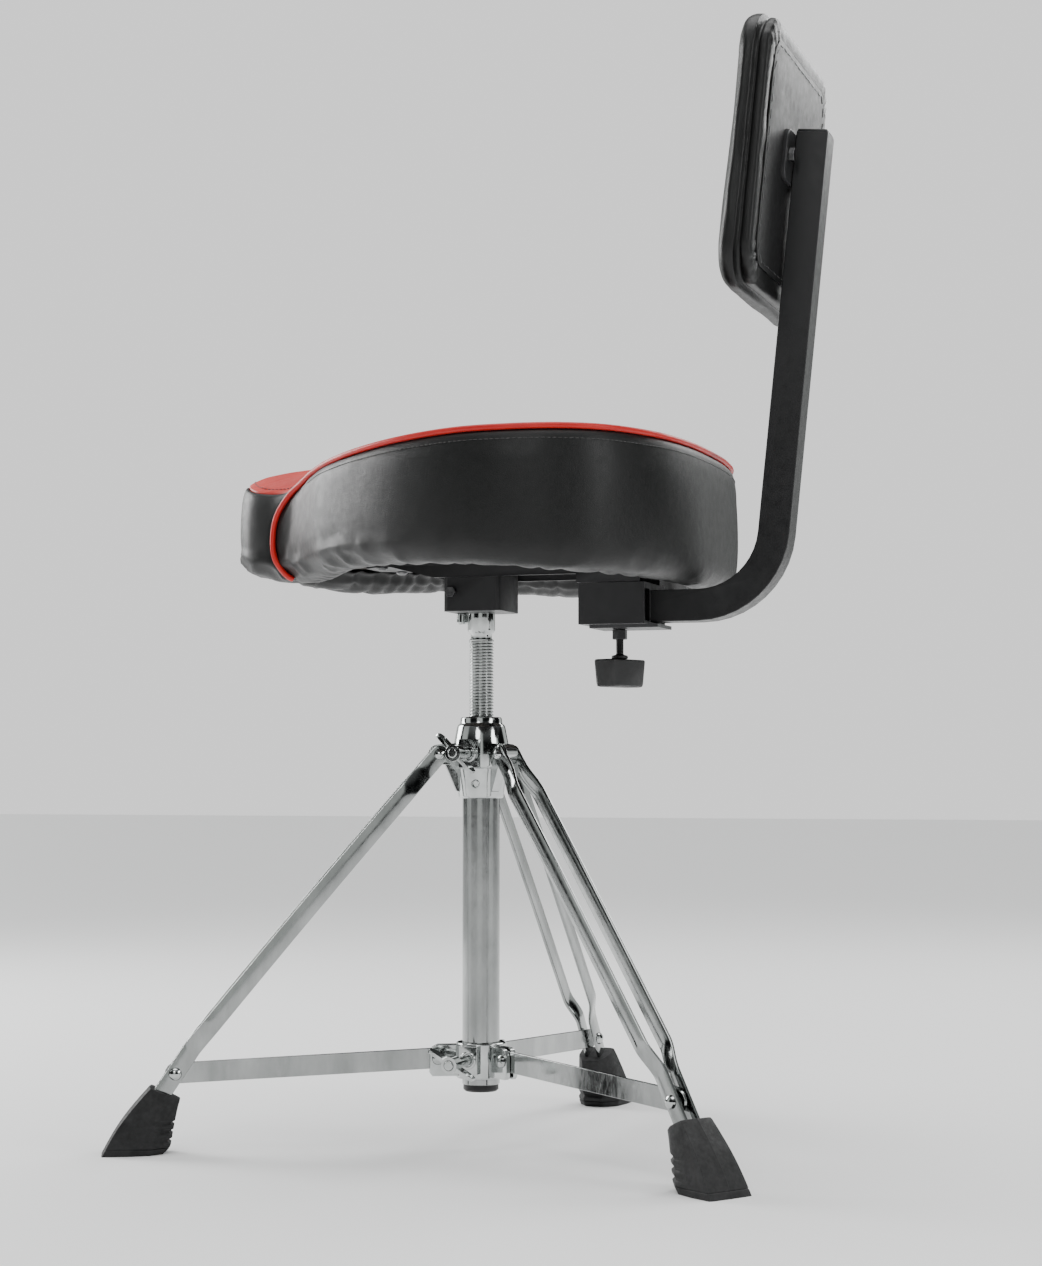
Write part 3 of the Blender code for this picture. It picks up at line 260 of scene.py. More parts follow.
# A darker copy of the chrome for the post, straps and struts: painted shade, its colour dimmed so
# the bright surroundings reflect in it as mid grey.
CHROME_PAINTED_SHADE = chrome_material("chrome_painted_shade", 0.07, 0.22, stretch=(1, 1, 0.35), painted_shade_tone=0.66)
ZINC = steel_material("zinc_plate", (0.30, 0.30, 0.31), (0.52, 0.52, 0.50))
DARK_BOLT = steel_material("dark_bolt", (0.055, 0.055, 0.058), (0.20, 0.20, 0.20))
BLACK_COAT = coated_material("black_powder_coat", (0.0022, 0.0022, 0.0024),
                             (0.0050, 0.0050, 0.0054), wear=(0.05, 0.05, 0.052))
LEATHER = leather_material("black_leather_skin", (0.0022, 0.0024, 0.0024),
                           (0.0052, 0.0055, 0.0055))
PAD_LEATHER = leather_material("black_leather_pad", (0.0020, 0.0021, 0.0021),
                               (0.0046, 0.0048, 0.0048), 0.30, 0.44)
LINING = leather_material("backrest_lining_skin", (0.0040, 0.0040, 0.0042),
                          (0.0095, 0.0095, 0.0100), 0.40, 0.56, 0.2)
RED_LEATHER = leather_material("red_leather_skin", (0.50, 0.030, 0.024), (0.64, 0.060, 0.046),
                               0.36, 0.52, 0.25)
RED_PIPING = leather_material("red_piping_skin", (0.42, 0.008, 0.007), (0.56, 0.018, 0.014),
                              0.30, 0.46, 0.18)
# Rubber with a light dust.
RUBBER = surface(
    "moulded_rubber",
    ((48, 8, 0.7), [(0.40, (0.0050, 0.0052, 0.0054)), (0.80, (0.026, 0.026, 0.027))]),
    ((300, 6), [(0.3, 0.55), (0.8, 0.80)]),
    [((900, 5, 0.6), 0.35, 0.0003)], {"Specular IOR Level": 0.35})
# Moulded plastic with a fine spark-eroded texture.
PLASTIC = surface(
    "moulded_plastic",
    ((60, 5), [(0.3, (0.0045, 0.0045, 0.0048)), (0.8, (0.0110, 0.0110, 0.0115))]),
    ((200, 5), [(0.3, 0.40), (0.8, 0.58)]),
    [((2200, 3), 0.35, 0.0002)], {"Specular IOR Level": 0.45})
# Plywood under a thin black stain, with the grain along Y.
WOOD_GRAIN = (60, 8, 0.65, (6, 0.5, 6))
BOARD = surface(
    "stained_board",
    (WOOD_GRAIN, [(0.35, (0.012, 0.010, 0.009)), (0.72, (0.040, 0.031, 0.024))]), None,
    [(WOOD_GRAIN, 0.3, 0.0005)], {"Roughness": 0.72})
TWIST = (2600, 2)
BLACK_THREAD = surface(
    "black_thread", (TWIST, [(0.3, (0.010, 0.010, 0.010)), (0.7, (0.027, 0.027, 0.027))]), None,
    [(TWIST, 0.6, 0.0002)], {"Sheen Weight": 0.35, "Roughness": 0.70})

# ---------------------------------------------------------------- mesh tools
def shown(name, mesh, material, body):
    """An object for a mesh, in one material, that moves with a body."""
    mesh.materials.clear()
    mesh.materials.append(material)
    obj = bpy.data.objects.new(name, mesh)
    bpy.context.scene.collection.objects.link(obj)
    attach(obj, body)
    return obj


def smooth(mesh, angle):
    """Smooth shading, with edges sharper than the angle left crisp."""
    mesh.shade_smooth()
    mesh.set_sharp_from_angle(angle=math.radians(angle))


def piece(name, points, faces, material, body, smooth_angle=38):
    """A new visible piece that moves with a body."""
    mesh = bpy.data.meshes.new(name)
    mesh.from_pydata([tuple(p) for p in points], [], faces)
    shell = bmesh.new()
    shell.from_mesh(mesh)
    bmesh.ops.recalc_face_normals(shell, faces=shell.faces)
    shell.to_mesh(mesh)
    shell.free()
    smooth(mesh, smooth_angle)
    return shown(name, mesh, material, body)


def grid_faces(rows, columns, closed_rows=False):
    """Faces between rows of points, each row closed on itself."""
    faces = []
    for row in range(rows if closed_rows else rows - 1):
        near, far = row * columns, ((row + 1) % rows) * columns
        for i in range(columns):
            j = (i + 1) % columns
            faces.append((near + i, near + j, far + j, far + i))
    return faces


def shell_of(rings, closed=False):
    """Points and faces of a skin through rings of equal length, capped if it is open."""
    count = len(rings[0])
    points = [Vector(p) for ring in rings for p in ring]
    faces = grid_faces(len(rings), count, closed_rows=closed)
    if not closed:
        last = (len(rings) - 1) * count
        faces.append(tuple(reversed(range(count))))
        faces.append(tuple(range(last, last + count)))
    return points, faces


def turned_shell(profile, sides, matrix, closed=False):
    """(radius, height) pairs turned about the matrix's Z."""
    rings = []
    for radius, height in profile:
        radius = max(radius, 0.00002)
        rings.append([matrix @ Vector((radius * math.cos(t), radius * math.sin(t), height))
                      for t in (math.tau * i / sides for i in range(sides))])
    return shell_of(rings, closed=closed)


def prism_shell(outline, low, high, matrix):
    """An (a, b) outline extruded along the matrix's Z."""
    return shell_of([[matrix @ Vector((a, b, h)) for a, b in outline] for h in (low, high)])


def joined(*shells):
    """Several shells as the points and faces of one mesh."""
    points, faces = [], []
    for more_points, more_faces in shells:
        start = len(points)
        points += more_points
        faces += [tuple(start + i for i in face) for face in more_faces]
    return points, faces


def bevel(obj, width, segments=2, angle=35):
    """Rounds an object's edges that are sharper than the angle."""
    change = obj.modifiers.new("edge", "BEVEL")
    change.width = width
    change.segments = segments
    change.limit_method = "ANGLE"
    change.angle_limit = math.radians(angle)
    change.use_clamp_overlap = True
    change.harden_normals = True


def refined(node, material, width=0.0004, segments=2, angle=35):
    """A CAD node's own shape with its facets merged and its edges rounded."""
    source = frame["nodes"][node]
    mesh = source.data.copy()
    mesh.name = f"{node}_finish"
    shell = bmesh.new()
    shell.from_mesh(mesh)
    bmesh.ops.remove_doubles(shell, verts=shell.verts, dist=0.000002)
    bmesh.ops.dissolve_limit(shell, angle_limit=math.radians(0.6), verts=shell.verts,
                             edges=shell.edges)
    bmesh.ops.recalc_face_normals(shell, faces=shell.faces)
    shell.to_mesh(mesh)
    shell.free()
    smooth(mesh, angle)
    obj = shown(f"{node}_finish", mesh, material, source["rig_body"])
    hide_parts(node)
    if width:
        bevel(obj, width, segments, angle)
    return obj


def mix(a, b, t):
    return a + (b - a) * t


def ease(t):
    t = max(0.0, min(1.0, t))
    return t * t * (3 - 2 * t)


def smooth_curve(points, steps, closed=False):
    """A Catmull-Rom curve through points, as an array."""
    given = np.array(points, float)
    count = len(given)
    result = []
    for i in range(count if closed else count - 1):
        if closed:
            a, b, c, d = (given[(i + k) % count] for k in (-1, 0, 1, 2))
        else:
            b, c = given[i], given[i + 1]
            a = given[i - 1] if i else 2 * b - c
            d = given[i + 2] if i + 2 < count else 2 * c - b
        for step in range(steps):
            t = step / steps
            result.append(0.5 * (2 * b + (c - a) * t + (2 * a - 5 * b + 4 * c - d) * t * t
                                 + (3 * b - a - 3 * c + d) * t ** 3))
    if not closed:
        result.append(given[-1])
    return np.array(result)


def tube_shell(path, radius, sides, hint=Vector((0, 0, 1))):
    """A round tube along an open path, with softened ends."""
    count = len(path)
    rings = []
    side = None
    for i, point in enumerate(path):
        before = path[i - 1] if i else point
        after = path[i + 1] if i + 1 < count else point
        along = (Vector(after) - Vector(before)).normalized()
        if side is None:
            side = along.cross(hint).normalized()
        side = (side - along * side.dot(along)).normalized()
        up = side.cross(along)
        rings.append([Vector(point) + radius * (side * math.cos(t) + up * math.sin(t))
                      for t in (math.tau * k / sides for k in range(sides))])
    for end, step in ((0, 1), (-1, -1)):
        middle = Vector(path[end])
        tip = middle + (middle - Vector(path[end + step])).normalized() * radius * 0.6
        ring = [tip + (p - middle).normalized() * radius * 0.75 for p in rings[end]]
        rings.insert(0 if end == 0 else len(rings), ring)
    return shell_of(rings)


def resampled(path, spacing):
    """Points at even spacing along a path of close points."""
    places = [Vector(p) for p in path]
    lengths = [0.0]
    for near, far in zip(places, places[1:]):
        lengths.append(lengths[-1] + (far - near).length)
    count = max(2, round(lengths[-1] / spacing))
    result, index = [], 0
    for i in range(count + 1):
        want = lengths[-1] * i / count
        while index < len(places) - 2 and lengths[index + 1] < want:
            index += 1
        span = max(lengths[index + 1] - lengths[index], 1e-9)
        result.append(places[index].lerp(places[index + 1], (want - lengths[index]) / span))
    return result


def laid_on(obj, path, lift=0.0003):
    """A path moved onto the nearest places of a mesh's skin, and lifted off it a little."""
    mesh = obj.data
    skin = BVHTree.FromPolygons([v.co for v in mesh.vertices],
                                [tuple(p.vertices) for p in mesh.polygons])
    result = []
    for point in path:
        spot, normal, _, _ = skin.find_nearest(Vector(point))
        if normal.dot(Vector((0, 0, 1))) < -0.2:
            normal = -normal
        result.append(spot + normal * lift)
    return result


def stitches(name, path, body, material, pitch=0.0042, length=0.0030, radius=0.00034):
    """A row of thread stitches lying along a path."""
    shells = []
    places = resampled(path, pitch)
    for near, far in zip(places, places[1:]):
        along = (far - near).normalized()
        side = along.cross(Vector((0, 0, 1)))
        if side.length < 0.1:
            side = along.cross(Vector((0, 1, 0)))
        side.normalize()
        up = side.cross(along)
        rings = []
        for share, wide in ((0.0, 0.25), (0.16, 0.85), (0.5, 1.0), (0.84, 0.85), (1.0, 0.25)):
            middle = near + along * (length * share)
            rings.append([middle + radius * wide * (side * math.cos(t) + up * math.sin(t))
                          for t in (math.tau * k / 6 for k in range(6))])
        shells.append(shell_of(rings))
    points, faces = joined(*shells)
    return piece(name, points, faces, material, body, smooth_angle=60)


def at_azimuth(azimuth, height=0.0):
    """A frame on the post's axis whose X points along an azimuth."""
    turned = Matrix.Rotation(math.radians(azimuth), 4, "Z")
    return Matrix.Translation(AXIS) @ turned @ Matrix.Translation((0, 0, height))


QUARTERS = [(1, 1), (-1, 1), (-1, -1), (1, -1)]        # corners' signs, in turning order
FACE_Y = Matrix.Rotation(math.radians(90), 4, "X")     # outlines in XZ, extruded along -Y
FACE_X = Matrix(((0, 0, 1, 0), (1, 0, 0, 0), (0, 1, 0, 0), (0, 0, 0, 1)))   # in YZ, along X

# ---------------------------------------------------------------- camera, light, floor
LENS = 68.4
CAMERA_PLACE = (1.837, 0.654, 0.298)      # from the post's foot
CAMERA_FORWARD = (-0.9475, -0.3198, 0.0587)
LAMPS = [
    # name, place from the post's foot, size, watts
    ("key", (-0.55, -2.1, 1.15), 1.2, 46),
    ("near", (2.3, 0.15, 1.7), 0.8, 9),
    ("back", (-2.0, 0.9, 1.9), 1.4, 30),
    ("rear", (0.5, 2.4, 1.3), 0.9, 14),
]
FLOOR_REACH = 14.0
BAND_TURNS, BAND_START = 5.0, 0.6         # bright and dark bands round the studio
DARK_BAND, GREY_BAND, BRIGHT_BAND = (0.008, 0.009, 0.009), (0.09, 0.10, 0.095), (0.85, 0.88, 0.86)
CEILING = (0.30, 0.31, 0.31, 1)
BACKDROP = (1.12, 1.12, 1.12, 1)


def build_camera():
    camera = bpy.data.cameras.new("camera")
    camera.sensor_width = 36
    camera.lens = LENS
    camera.clip_end = 60
    seen = bpy.data.objects.new("camera", camera)
    seen.location = AXIS + Vector(CAMERA_PLACE)
    seen.rotation_euler = Vector(CAMERA_FORWARD).to_track_quat("-Z", "Y").to_euler()
    bpy.context.scene.collection.objects.link(seen)
    bpy.context.scene.camera = seen


def build_floor():
    material, _, shader = new_material("pale_floor")
    shader.inputs["Specular IOR Level"].default_value = 0.20
    shader.inputs["Base Color"].default_value = (0.88, 0.88, 0.88, 1)
    shader.inputs["Roughness"].default_value = 0.42
    reach = FLOOR_REACH
    mesh = bpy.data.meshes.new("floor")
    mesh.from_pydata([(-reach, -reach, 0), (reach, -reach, 0), (reach, reach, 0),
                      (-reach, reach, 0)], [], [(0, 1, 2, 3)])
    mesh.materials.append(material)
    floor = bpy.data.objects.new("floor", mesh)
    bpy.context.scene.collection.objects.link(floor)


def build_world():
    """A dark studio with bright bands for the chrome, in front of a pale backdrop."""
    world = bpy.data.worlds.new("studio")
    world.use_nodes = True
    bpy.context.scene.world = world
    tree = world.node_tree
    sky = tree.nodes["Background"]
    direction = add(tree, "ShaderNodeTexCoord").outputs["Generated"]
    parts = add(tree, "ShaderNodeSeparateXYZ", {"Vector": direction})
    azimuth = math_node(tree, "ARCTAN2", parts.outputs["Y"], parts.outputs["X"])
    swing = math_node(tree, "SINE",
                      math_node(tree, "MULTIPLY_ADD", azimuth, BAND_TURNS, BAND_START))
    share = math_node(tree, "MULTIPLY_ADD", swing, 0.5, 0.5)
    bands = ramp(tree, share, [(0.38, DARK_BAND), (0.56, GREY_BAND), (0.74, BRIGHT_BAND)])
    rise = ramp(tree, parts.outputs["Z"], [(0.35, 0.0), (0.75, 1.0)])
    studio = mix_node(tree, rise, bands, CEILING)
    seen_by_eye = add(tree, "ShaderNodeLightPath").outputs["Is Camera Ray"]
    tree.links.new(mix_node(tree, seen_by_eye, studio, BACKDROP), sky.inputs["Color"])


def build_lamps():
    for name, place, size, watts in LAMPS:
        lamp = bpy.data.lights.new(name, "AREA")
        lamp.shape = "DISK"
        lamp.size = size
        lamp.energy = watts
        made = bpy.data.objects.new(name, lamp)
        made.location = AXIS + Vector(place)
        aim = AXIS + Vector((0, 0, 0.45)) - made.location
        made.rotation_euler = aim.to_track_quat("-Z", "Y").to_euler()
        bpy.context.scene.collection.objects.link(made)

    sun = bpy.data.lights.new("overhead", "SUN")
    sun.energy = 3.0
    sun.angle = math.radians(70)
    made = bpy.data.objects.new("overhead", sun)
    made.location = (0, 0, 3)
    bpy.context.scene.collection.objects.link(made)


# ---------------------------------------------------------------- tripod centre
def build_post():
    low, high = POST_LOW.z, POST_HIGH.z
    inner = POST_R - POST_WALL
    profile = [(POST_R, high), (POST_R, low + 0.0006), (POST_R - 0.0006, low),
               (inner, low), (inner, high)]
    points, faces = turned_shell(profile, 96, Matrix.Translation(AXIS), closed=True)
    post = piece("post_tube_finish", points, faces, CHROME_PAINTED_SHADE, "tripod")
    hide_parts("post_tube")


def boss_shells(height, half_wide, half_tall):
    """A square boss on the wing bolts' side, with a rounded rim round its bolt."""
    reach = BOSS_REACH
    side = at_azimuth(LOCK_AZIMUTH, height) @ FACE_X
    block = [(-half_wide, -half_tall), (half_wide, -half_tall), (half_wide, half_tall),
             (-half_wide, half_tall)]
    ring = [(0.0070, reach - 0.0010), (0.0070, reach + 0.0006), (0.0063, reach + 0.0012),
            (0.0050, reach + 0.0012), (0.0044, reach + 0.0006), (0.0044, reach - 0.0010)]
    return [prism_shell(block, 0.0165, reach, side),
            turned_shell(ring, 40, side, closed=True)]


def build_hub():
    bore, lip = POST_R + BORE_GAP, ROD_R + 0.0010
    profile = [
        (bore, HUB_BOTTOM), (bore, HUB_TOP - 0.006), (lip, HUB_TOP - 0.003), (lip, HUB_TOP),
        (0.0156, HUB_TOP), (0.0166, HUB_TOP - 0.0008), (0.0170, HUB_TOP - 0.0046),
        (0.0172, HUB_TOP - 0.0052), (0.0186, HUB_TOP - 0.0062), (0.0195, HUB_TOP - 0.0080),
        (0.0219, HUB_TOP - 0.0205), (0.0223, HUB_TOP - 0.0230), (0.0223, 0.3050),
        (0.0219, 0.3035), (0.0206, 0.3025), (0.0203, 0.3010), (0.0182, HUB_BOTTOM + 0.0020),
        (0.0178, HUB_BOTTOM + 0.0006), (0.0170, HUB_BOTTOM),
    ]
    shells = [turned_shell(profile, 96, Matrix.Translation(AXIS), closed=True)]
    for azimuth in LEG_AZIMUTHS.values():
        radius, height = HUB_PIVOT
        end = [(radius + 0.008 * math.cos(t), height + 0.008 * math.sin(t))
               for t in (math.pi * (i / 14 - 0.5) for i in range(15))]
        outline = [(0.0180, height - 0.0092), *end, (0.0180, height + 0.0092)]
        shells.append(prism_shell(outline, -LUG_HALF, LUG_HALF, at_azimuth(azimuth) @ FACE_Y))
        rib = [(0.0150, HUB_BOTTOM + 0.004), (0.0205, HUB_BOTTOM + 0.006),
               (0.0300, height - 0.007), (0.0150, height - 0.006)]
        shells.append(prism_shell(rib, -0.0040, 0.0040, at_azimuth(azimuth) @ FACE_Y))
    shells += boss_shells(HUB_LOCK_Z, 0.0085, 0.0115)
    well = [(0.0035, 0.0194), (0.0035, 0.0208), (0.0030, 0.0212), (0.0025, 0.0208),
            (0.0025, 0.0150)]
    screw_face = at_azimuth(SET_SCREW_AZIMUTH, SET_SCREW_Z) @ FACE_X
    shells.append(turned_shell(well, 24, screw_face, closed=True))
    points, faces = joined(*shells)
    hub = piece("leg_hub_finish", points, faces, CHROME, "tripod")
    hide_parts("leg_hub")
    bevel(hub, 0.0005, 2, 40)

    screw = [(0, 0.0160), (0.0023, 0.0160), (0.0023, 0.0183), (0.0018, 0.0187), (0.0011, 0.0187),
             (0.0011, 0.0172), (0, 0.0172)]
    points, faces = turned_shell(screw, 24, screw_face)
    made = piece("hub_set_screw_finish", points, faces, DARK_BOLT, "tripod")
    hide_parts("hub_set_screw")


def build_collar():
    bore = POST_R + BORE_GAP
    profile = [(bore, COLLAR_LOW), (bore, COLLAR_HIGH), (COLLAR_R - 0.001, COLLAR_HIGH),
               (COLLAR_R, COLLAR_HIGH - 0.001), (COLLAR_R, COLLAR_LOW + 0.001),
               (COLLAR_R - 0.001, COLLAR_LOW)]
    shells = [turned_shell(profile, 96, Matrix.Translation(AXIS), closed=True)]
    ear = [(0.0175, 0.0570), (0.0395, 0.0570), (0.0415, 0.0595), (0.0415, 0.0745),
           (0.0390, 0.0795), (0.0345, 0.0818), (0.0175, 0.0818)]
    for azimuth in LEG_AZIMUTHS.values():
        side = at_azimuth(azimuth) @ FACE_Y
        for low, high in ((EAR_INNER, EAR_OUTER), (-EAR_OUTER, -EAR_INNER)):
            shells.append(prism_shell(ear, low, high, side))
    shells += boss_shells(COLLAR_PIVOT[1], 0.0080, 0.0110)
    points, faces = joined(*shells)
    collar = piece("lock_collar_finish", points, faces, CHROME, "collar")
    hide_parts("lock_collar")
    bevel(collar, 0.0005, 2, 40)


def build_rod():
    """The rod, with its screw thread cut as a real helix."""
    sides = 56
    rows_a_pitch = 12
    root = ROD_R - THREAD_DEPTH

    def ring(height, radius_at):
        turns = [math.tau * i / sides for i in range(sides)]
        return [AXIS + Vector((radius_at(t) * math.cos(t), radius_at(t) * math.sin(t), height))
                for t in turns]

    def plain(radius):
        return lambda turn: radius

    def threaded(height):
        fade = ease((ROD_THREAD_TOP - height) / THREAD_PITCH)

        def radius_at(turn):
            phase = (height / THREAD_PITCH - turn / math.tau) % 1.0
            flank = 1 - abs(2 * phase - 1)
            cut = ease((flank - 0.12) / 0.62)
            return ROD_R - THREAD_DEPTH * cut * fade
        return radius_at

    seen_from = 0.2650     # the thread below here stays inside the tube
    rings = [ring(ROD_BOTTOM, plain(ROD_R - 0.0015)), ring(ROD_BOTTOM + 0.0015, plain(root)),
             ring(seen_from, plain(root))]
    count = round((ROD_THREAD_TOP - seen_from) / THREAD_PITCH * rows_a_pitch)
    for i in range(1, count + 1):
        height = mix(seen_from, ROD_THREAD_TOP, i / count)
        rings.append(ring(height, threaded(height)))
    neck = [(0.0086, 0.4076), (0.0085, 0.4110), (0.0094, 0.4121), (0.0107, 0.4136),
            (0.0111, 0.4146), (0.0111, ROD_TOP - 0.001), (0.0101, ROD_TOP)]
    for radius, height in neck:
        rings.append(ring(height, plain(radius)))
    points, faces = shell_of(rings)
    rod = piece("height_rod_finish", points, faces, CHROME, "rod", smooth_angle=50)
    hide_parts("height_rod")


# ---------------------------------------------------------------- legs
def strap_section(point, along, inner, side, half):
    """A strap's rounded section, in a leg's own frame, XZ with Y across."""
    across = Vector((-along.y, along.x))
    corner = 0.0007
    outline = []
    for quarter, (sx, sy) in enumerate(QUARTERS):
        for step in range(3):
            turn = math.pi / 4 * step + math.pi / 2 * quarter
            outline.append((sx * (half - corner) + corner * math.cos(turn),
                            sy * (STRAP_THICK / 2 - corner) + corner * math.sin(turn)))
    middle = inner + STRAP_THICK / 2 * side
    ring = []
    for a, b in outline:
        place = point + across * a
        ring.append(Vector((place.x, middle + b, place.y)))
    return ring


def strap_rings(side):
    """A strap's sections from its round top end, past the bend, down into the foot."""
    pivot = Vector(HUB_PIVOT)
    bend = Vector(LEG_BEND)
    rivet = Vector(LEG_RIVET)
    down = (bend - pivot).normalized()
    low = (rivet - bend).normalized()
    end = rivet + low * LEG_BURIED
    to_bend = (bend - pivot).length
    half = STRAP_WIDTH / 2

    def offset(distance):
        spread = ease((distance - 0.014) / 0.028)
        pinch = ease((distance - (to_bend - 0.024)) / 0.028)
        return mix(mix(STRAP_TOP_GAP, STRAP_WIDE_GAP, spread), STRAP_LOW_GAP, pinch) * side

    rings = []
    for turn in (84, 66, 50, 36, 24, 12):
        back = -half * math.sin(math.radians(turn))
        rings.append(strap_section(pivot + down * back, down, offset(back), side,
                                   half * math.cos(math.radians(turn))))
    marks = [0.0, 0.006, 0.012] + [0.014 + 0.0028 * i for i in range(1, 11)]
    marks += [mix(0.046, to_bend - 0.028, i / 10) for i in range(11)]
    marks += [to_bend - 0.024 + 0.0028 * i for i in range(7)]
    for mark in marks:
        bow = 0.0012 * math.sin(math.pi * mark / to_bend)
        across = Vector((-down.y, down.x))
        rings.append(strap_section(pivot + down * mark + across * bow, down, offset(mark),
                                   side, half))
    for i in range(5):
        t = i / 4
        a, b = bend - down * 0.004, bend + low * 0.004
        place = a.lerp(bend, t).lerp(bend.lerp(b, t), t)
        rings.append(strap_section(place, down.lerp(low, t).normalized(),
                                   offset(to_bend - 0.004 + 0.008 * t), side, half))
    for t in (0.25, 0.5, 1.0):
        place = (bend + low * 0.004).lerp(end, t)
        rings.append(strap_section(place, low, offset(to_bend + 0.02), side, half))
    return rings


def build_leg(letter):
    frame_of_leg = at_azimuth(LEG_AZIMUTHS[letter])
    body = f"leg_{letter}"
    for word, side in (("left", 1), ("right", -1)):
        rings = [[frame_of_leg @ p for p in ring] for ring in strap_rings(side)]
        points, faces = shell_of(rings)
        name = f"leg_{letter}_strap_{word}"
        strap = piece(f"{name}_finish", points, faces, CHROME_PAINTED_SHADE, body, 42)
        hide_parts(name)

    points, faces = shell_of([[frame_of_leg @ p for p in ring] for ring in foot_rings()])
    foot = piece(f"leg_{letter}_foot_finish", points, faces, RUBBER, body, 32)
    bevel(foot, 0.0007, 2, 32)
    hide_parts(f"leg_{letter}_foot")

    rim = Vector(COLLAR_PIVOT)
    reach = Vector(LEG_RIVET) - rim
    angle = math.atan2(reach.y, reach.x)
    half = STRUT_WIDTH / 2
    outline = []
    for centre, start in ((Vector(LEG_RIVET), angle - math.pi / 2), (rim, angle + math.pi / 2)):
        for step in range(19):
            t = start + math.pi * step / 18
            outline.append((centre.x + half * math.cos(t), centre.y + half * math.sin(t)))
    points, faces = prism_shell(outline, -STRUT_THICK / 2, STRUT_THICK / 2, frame_of_leg @ FACE_Y)
    strut = piece(f"strut_{letter}_finish", points, faces, CHROME_PAINTED_SHADE, f"strut_{letter}")
    bevel(strut, 0.0005, 3, 40)
    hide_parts(f"strut_{letter}")


def foot_rings():
    """A foot's levels: the grip ribs run across its inner side and round onto its flanks."""
    # Share of the height, how far the inner side draws outward, and a change of width.
    levels = [(0.0, 0.0050, 0.0), (0.055, 0.0024, 0.0), (0.088, 0.0010, 0.0),
              (0.096, 0.0018, -0.0005), (0.106, 0.0006, 0.0)]
    for middle in (0.205, 0.345, 0.485):
        levels += [(middle - 0.052, 0.0, 0.0), (middle - 0.012, 0.0030, 0.0),
                   (middle + 0.012, 0.0026, 0.0), (middle + 0.045, 0.0, 0.0)]
    levels += [(0.60, 0.0, 0.0), (0.72, 0.0, 0.0), (0.86, 0.0, 0.0), (0.975, 0.0, 0.0),
               (1.0, 0.0, -0.0004)]
    seam = 0.0004                  # the mould's parting line
    rings = []
    for share, push, swell in levels:
        outer = mix(0.3000, 0.2630, share) + 0.0032 * math.sin(math.pi * share) + swell
        wide = mix(0.0200, 0.0145, share) + swell
        shoulder = mix(0.2630, 0.2500, share)
        inner = mix(0.2470, 0.2390, share) + push - swell
        narrow = mix(0.0090, 0.0075, share)
        slope = 0.010 * share ** 3

        def lift(radius):
            return FOOT_HEIGHT * share - slope * (outer - radius) / (outer - inner)

        flank = wide - push * 0.42
        back = mix(shoulder, outer, 0.45)
        half = [
            (outer + seam, 0.0), (outer + seam * 0.6, 0.0006), (outer, 0.0011),
            (outer - 0.0002, wide * 0.80), (outer - 0.0010, wide), (back, wide + 0.0002),
            (shoulder, flank), (mix(shoulder, inner, 0.5), mix(flank, narrow, 0.46)),
            (inner, narrow), (inner, 0.0),
        ]
        loop = half + [(r, -s) for r, s in reversed(half[1:-1])]
        rings.append([Vector((r, s, lift(r))) for r, s in loop])
    return rings


# ---------------------------------------------------------------- seat
def seat_columns():
    """The outline, closely sampled: position, outward normal, top edge, rim, as arrays."""
    mirrored = [(-p[0], *p[1:]) for p in reversed(SEAT_HALF[1:-1])]
    loop = smooth_curve(SEAT_HALF + mirrored, STEPS, closed=True)
    along = np.roll(loop, -1, 0)[:, :2] - np.roll(loop, 1, 0)[:, :2]
    along /= np.linalg.norm(along, axis=1)[:, None]
    outward = np.stack([along[:, 1], -along[:, 0]], 1)
    return loop[:, :2], outward, loop[:, 2], loop[:, 3]


PLACE, OUTWARD, TOP, RIM = seat_columns()
COLUMNS = len(PLACE)
HALF_WAY = len(SEAT_HALF) - 1              # the outline's rear point

# The near half's outline by its turn from the nose.
HALF = slice(COLUMNS // 2 + 1)
TURNS = np.abs(np.arctan2(PLACE[HALF, 0], -PLACE[HALF, 1]))
RADII = np.linalg.norm(PLACE[HALF], axis=1)

# The side panel's section, from its tucked top seam down, under the rim and up to the
# board: inset, share of the top edge, share of the rim, and a rise.
SIDE_SECTION = [
    (0.0088, 1.00, 0.00, -0.0042), (0.0060, 1.00, 0.00, -0.0006), (0.0036, 0.97, 0.03, 0.0),
    (0.0014, 0.86, 0.14, 0.0), (0.0004, 0.70, 0.30, 0.0), (0.0000, 0.50, 0.50, 0.0),
    (0.0004, 0.31, 0.69, 0.0), (0.0026, 0.00, 1.00, 0.0125), (0.0085, 0.00, 1.00, 0.0038),
    (0.0170, 0.00, 1.00, 0.0008), (0.0265, 0.00, 1.00, 0.0014), (0.0340, 0.00, 1.00, 0.0052),
    (0.0385, 0.00, 0.40, BOARD_BOTTOM * 0.6 - 0.0030),
    (0.0425, 0.00, 0.00, BOARD_BOTTOM - 0.0052), (0.0485, 0.00, 0.00, BOARD_BOTTOM - 0.0026),
]
ROW_STEPS = 3


def side_grid():
    """The side panel's points: rows from top seam to hem, columns round the seat."""
    controls = []
    for inset, of_top, of_rim, rise in SIDE_SECTION:
        height = TOP * of_top + RIM * of_rim + rise
        spot = PLACE - OUTWARD * inset
        controls.append(np.column_stack([spot, height]))
    stacked = np.array(controls).reshape(len(controls), -1)
    return smooth_curve(stacked, ROW_STEPS).reshape(-1, COLUMNS, 3)


def look_up(grid, station, row):
    """A point of the grid at fractional places; station counts the outline's points."""
    column = (station * STEPS) % COLUMNS
    c0, r0 = int(column), int(row)
    c1, r1 = (c0 + 1) % COLUMNS, min(r0 + 1, len(grid) - 1)
    a = mix(grid[r0, c0], grid[r0, c1], column - c0)
    b = mix(grid[r1, c0], grid[r1, c1], column - c0)
    return mix(a, b, row - r0)


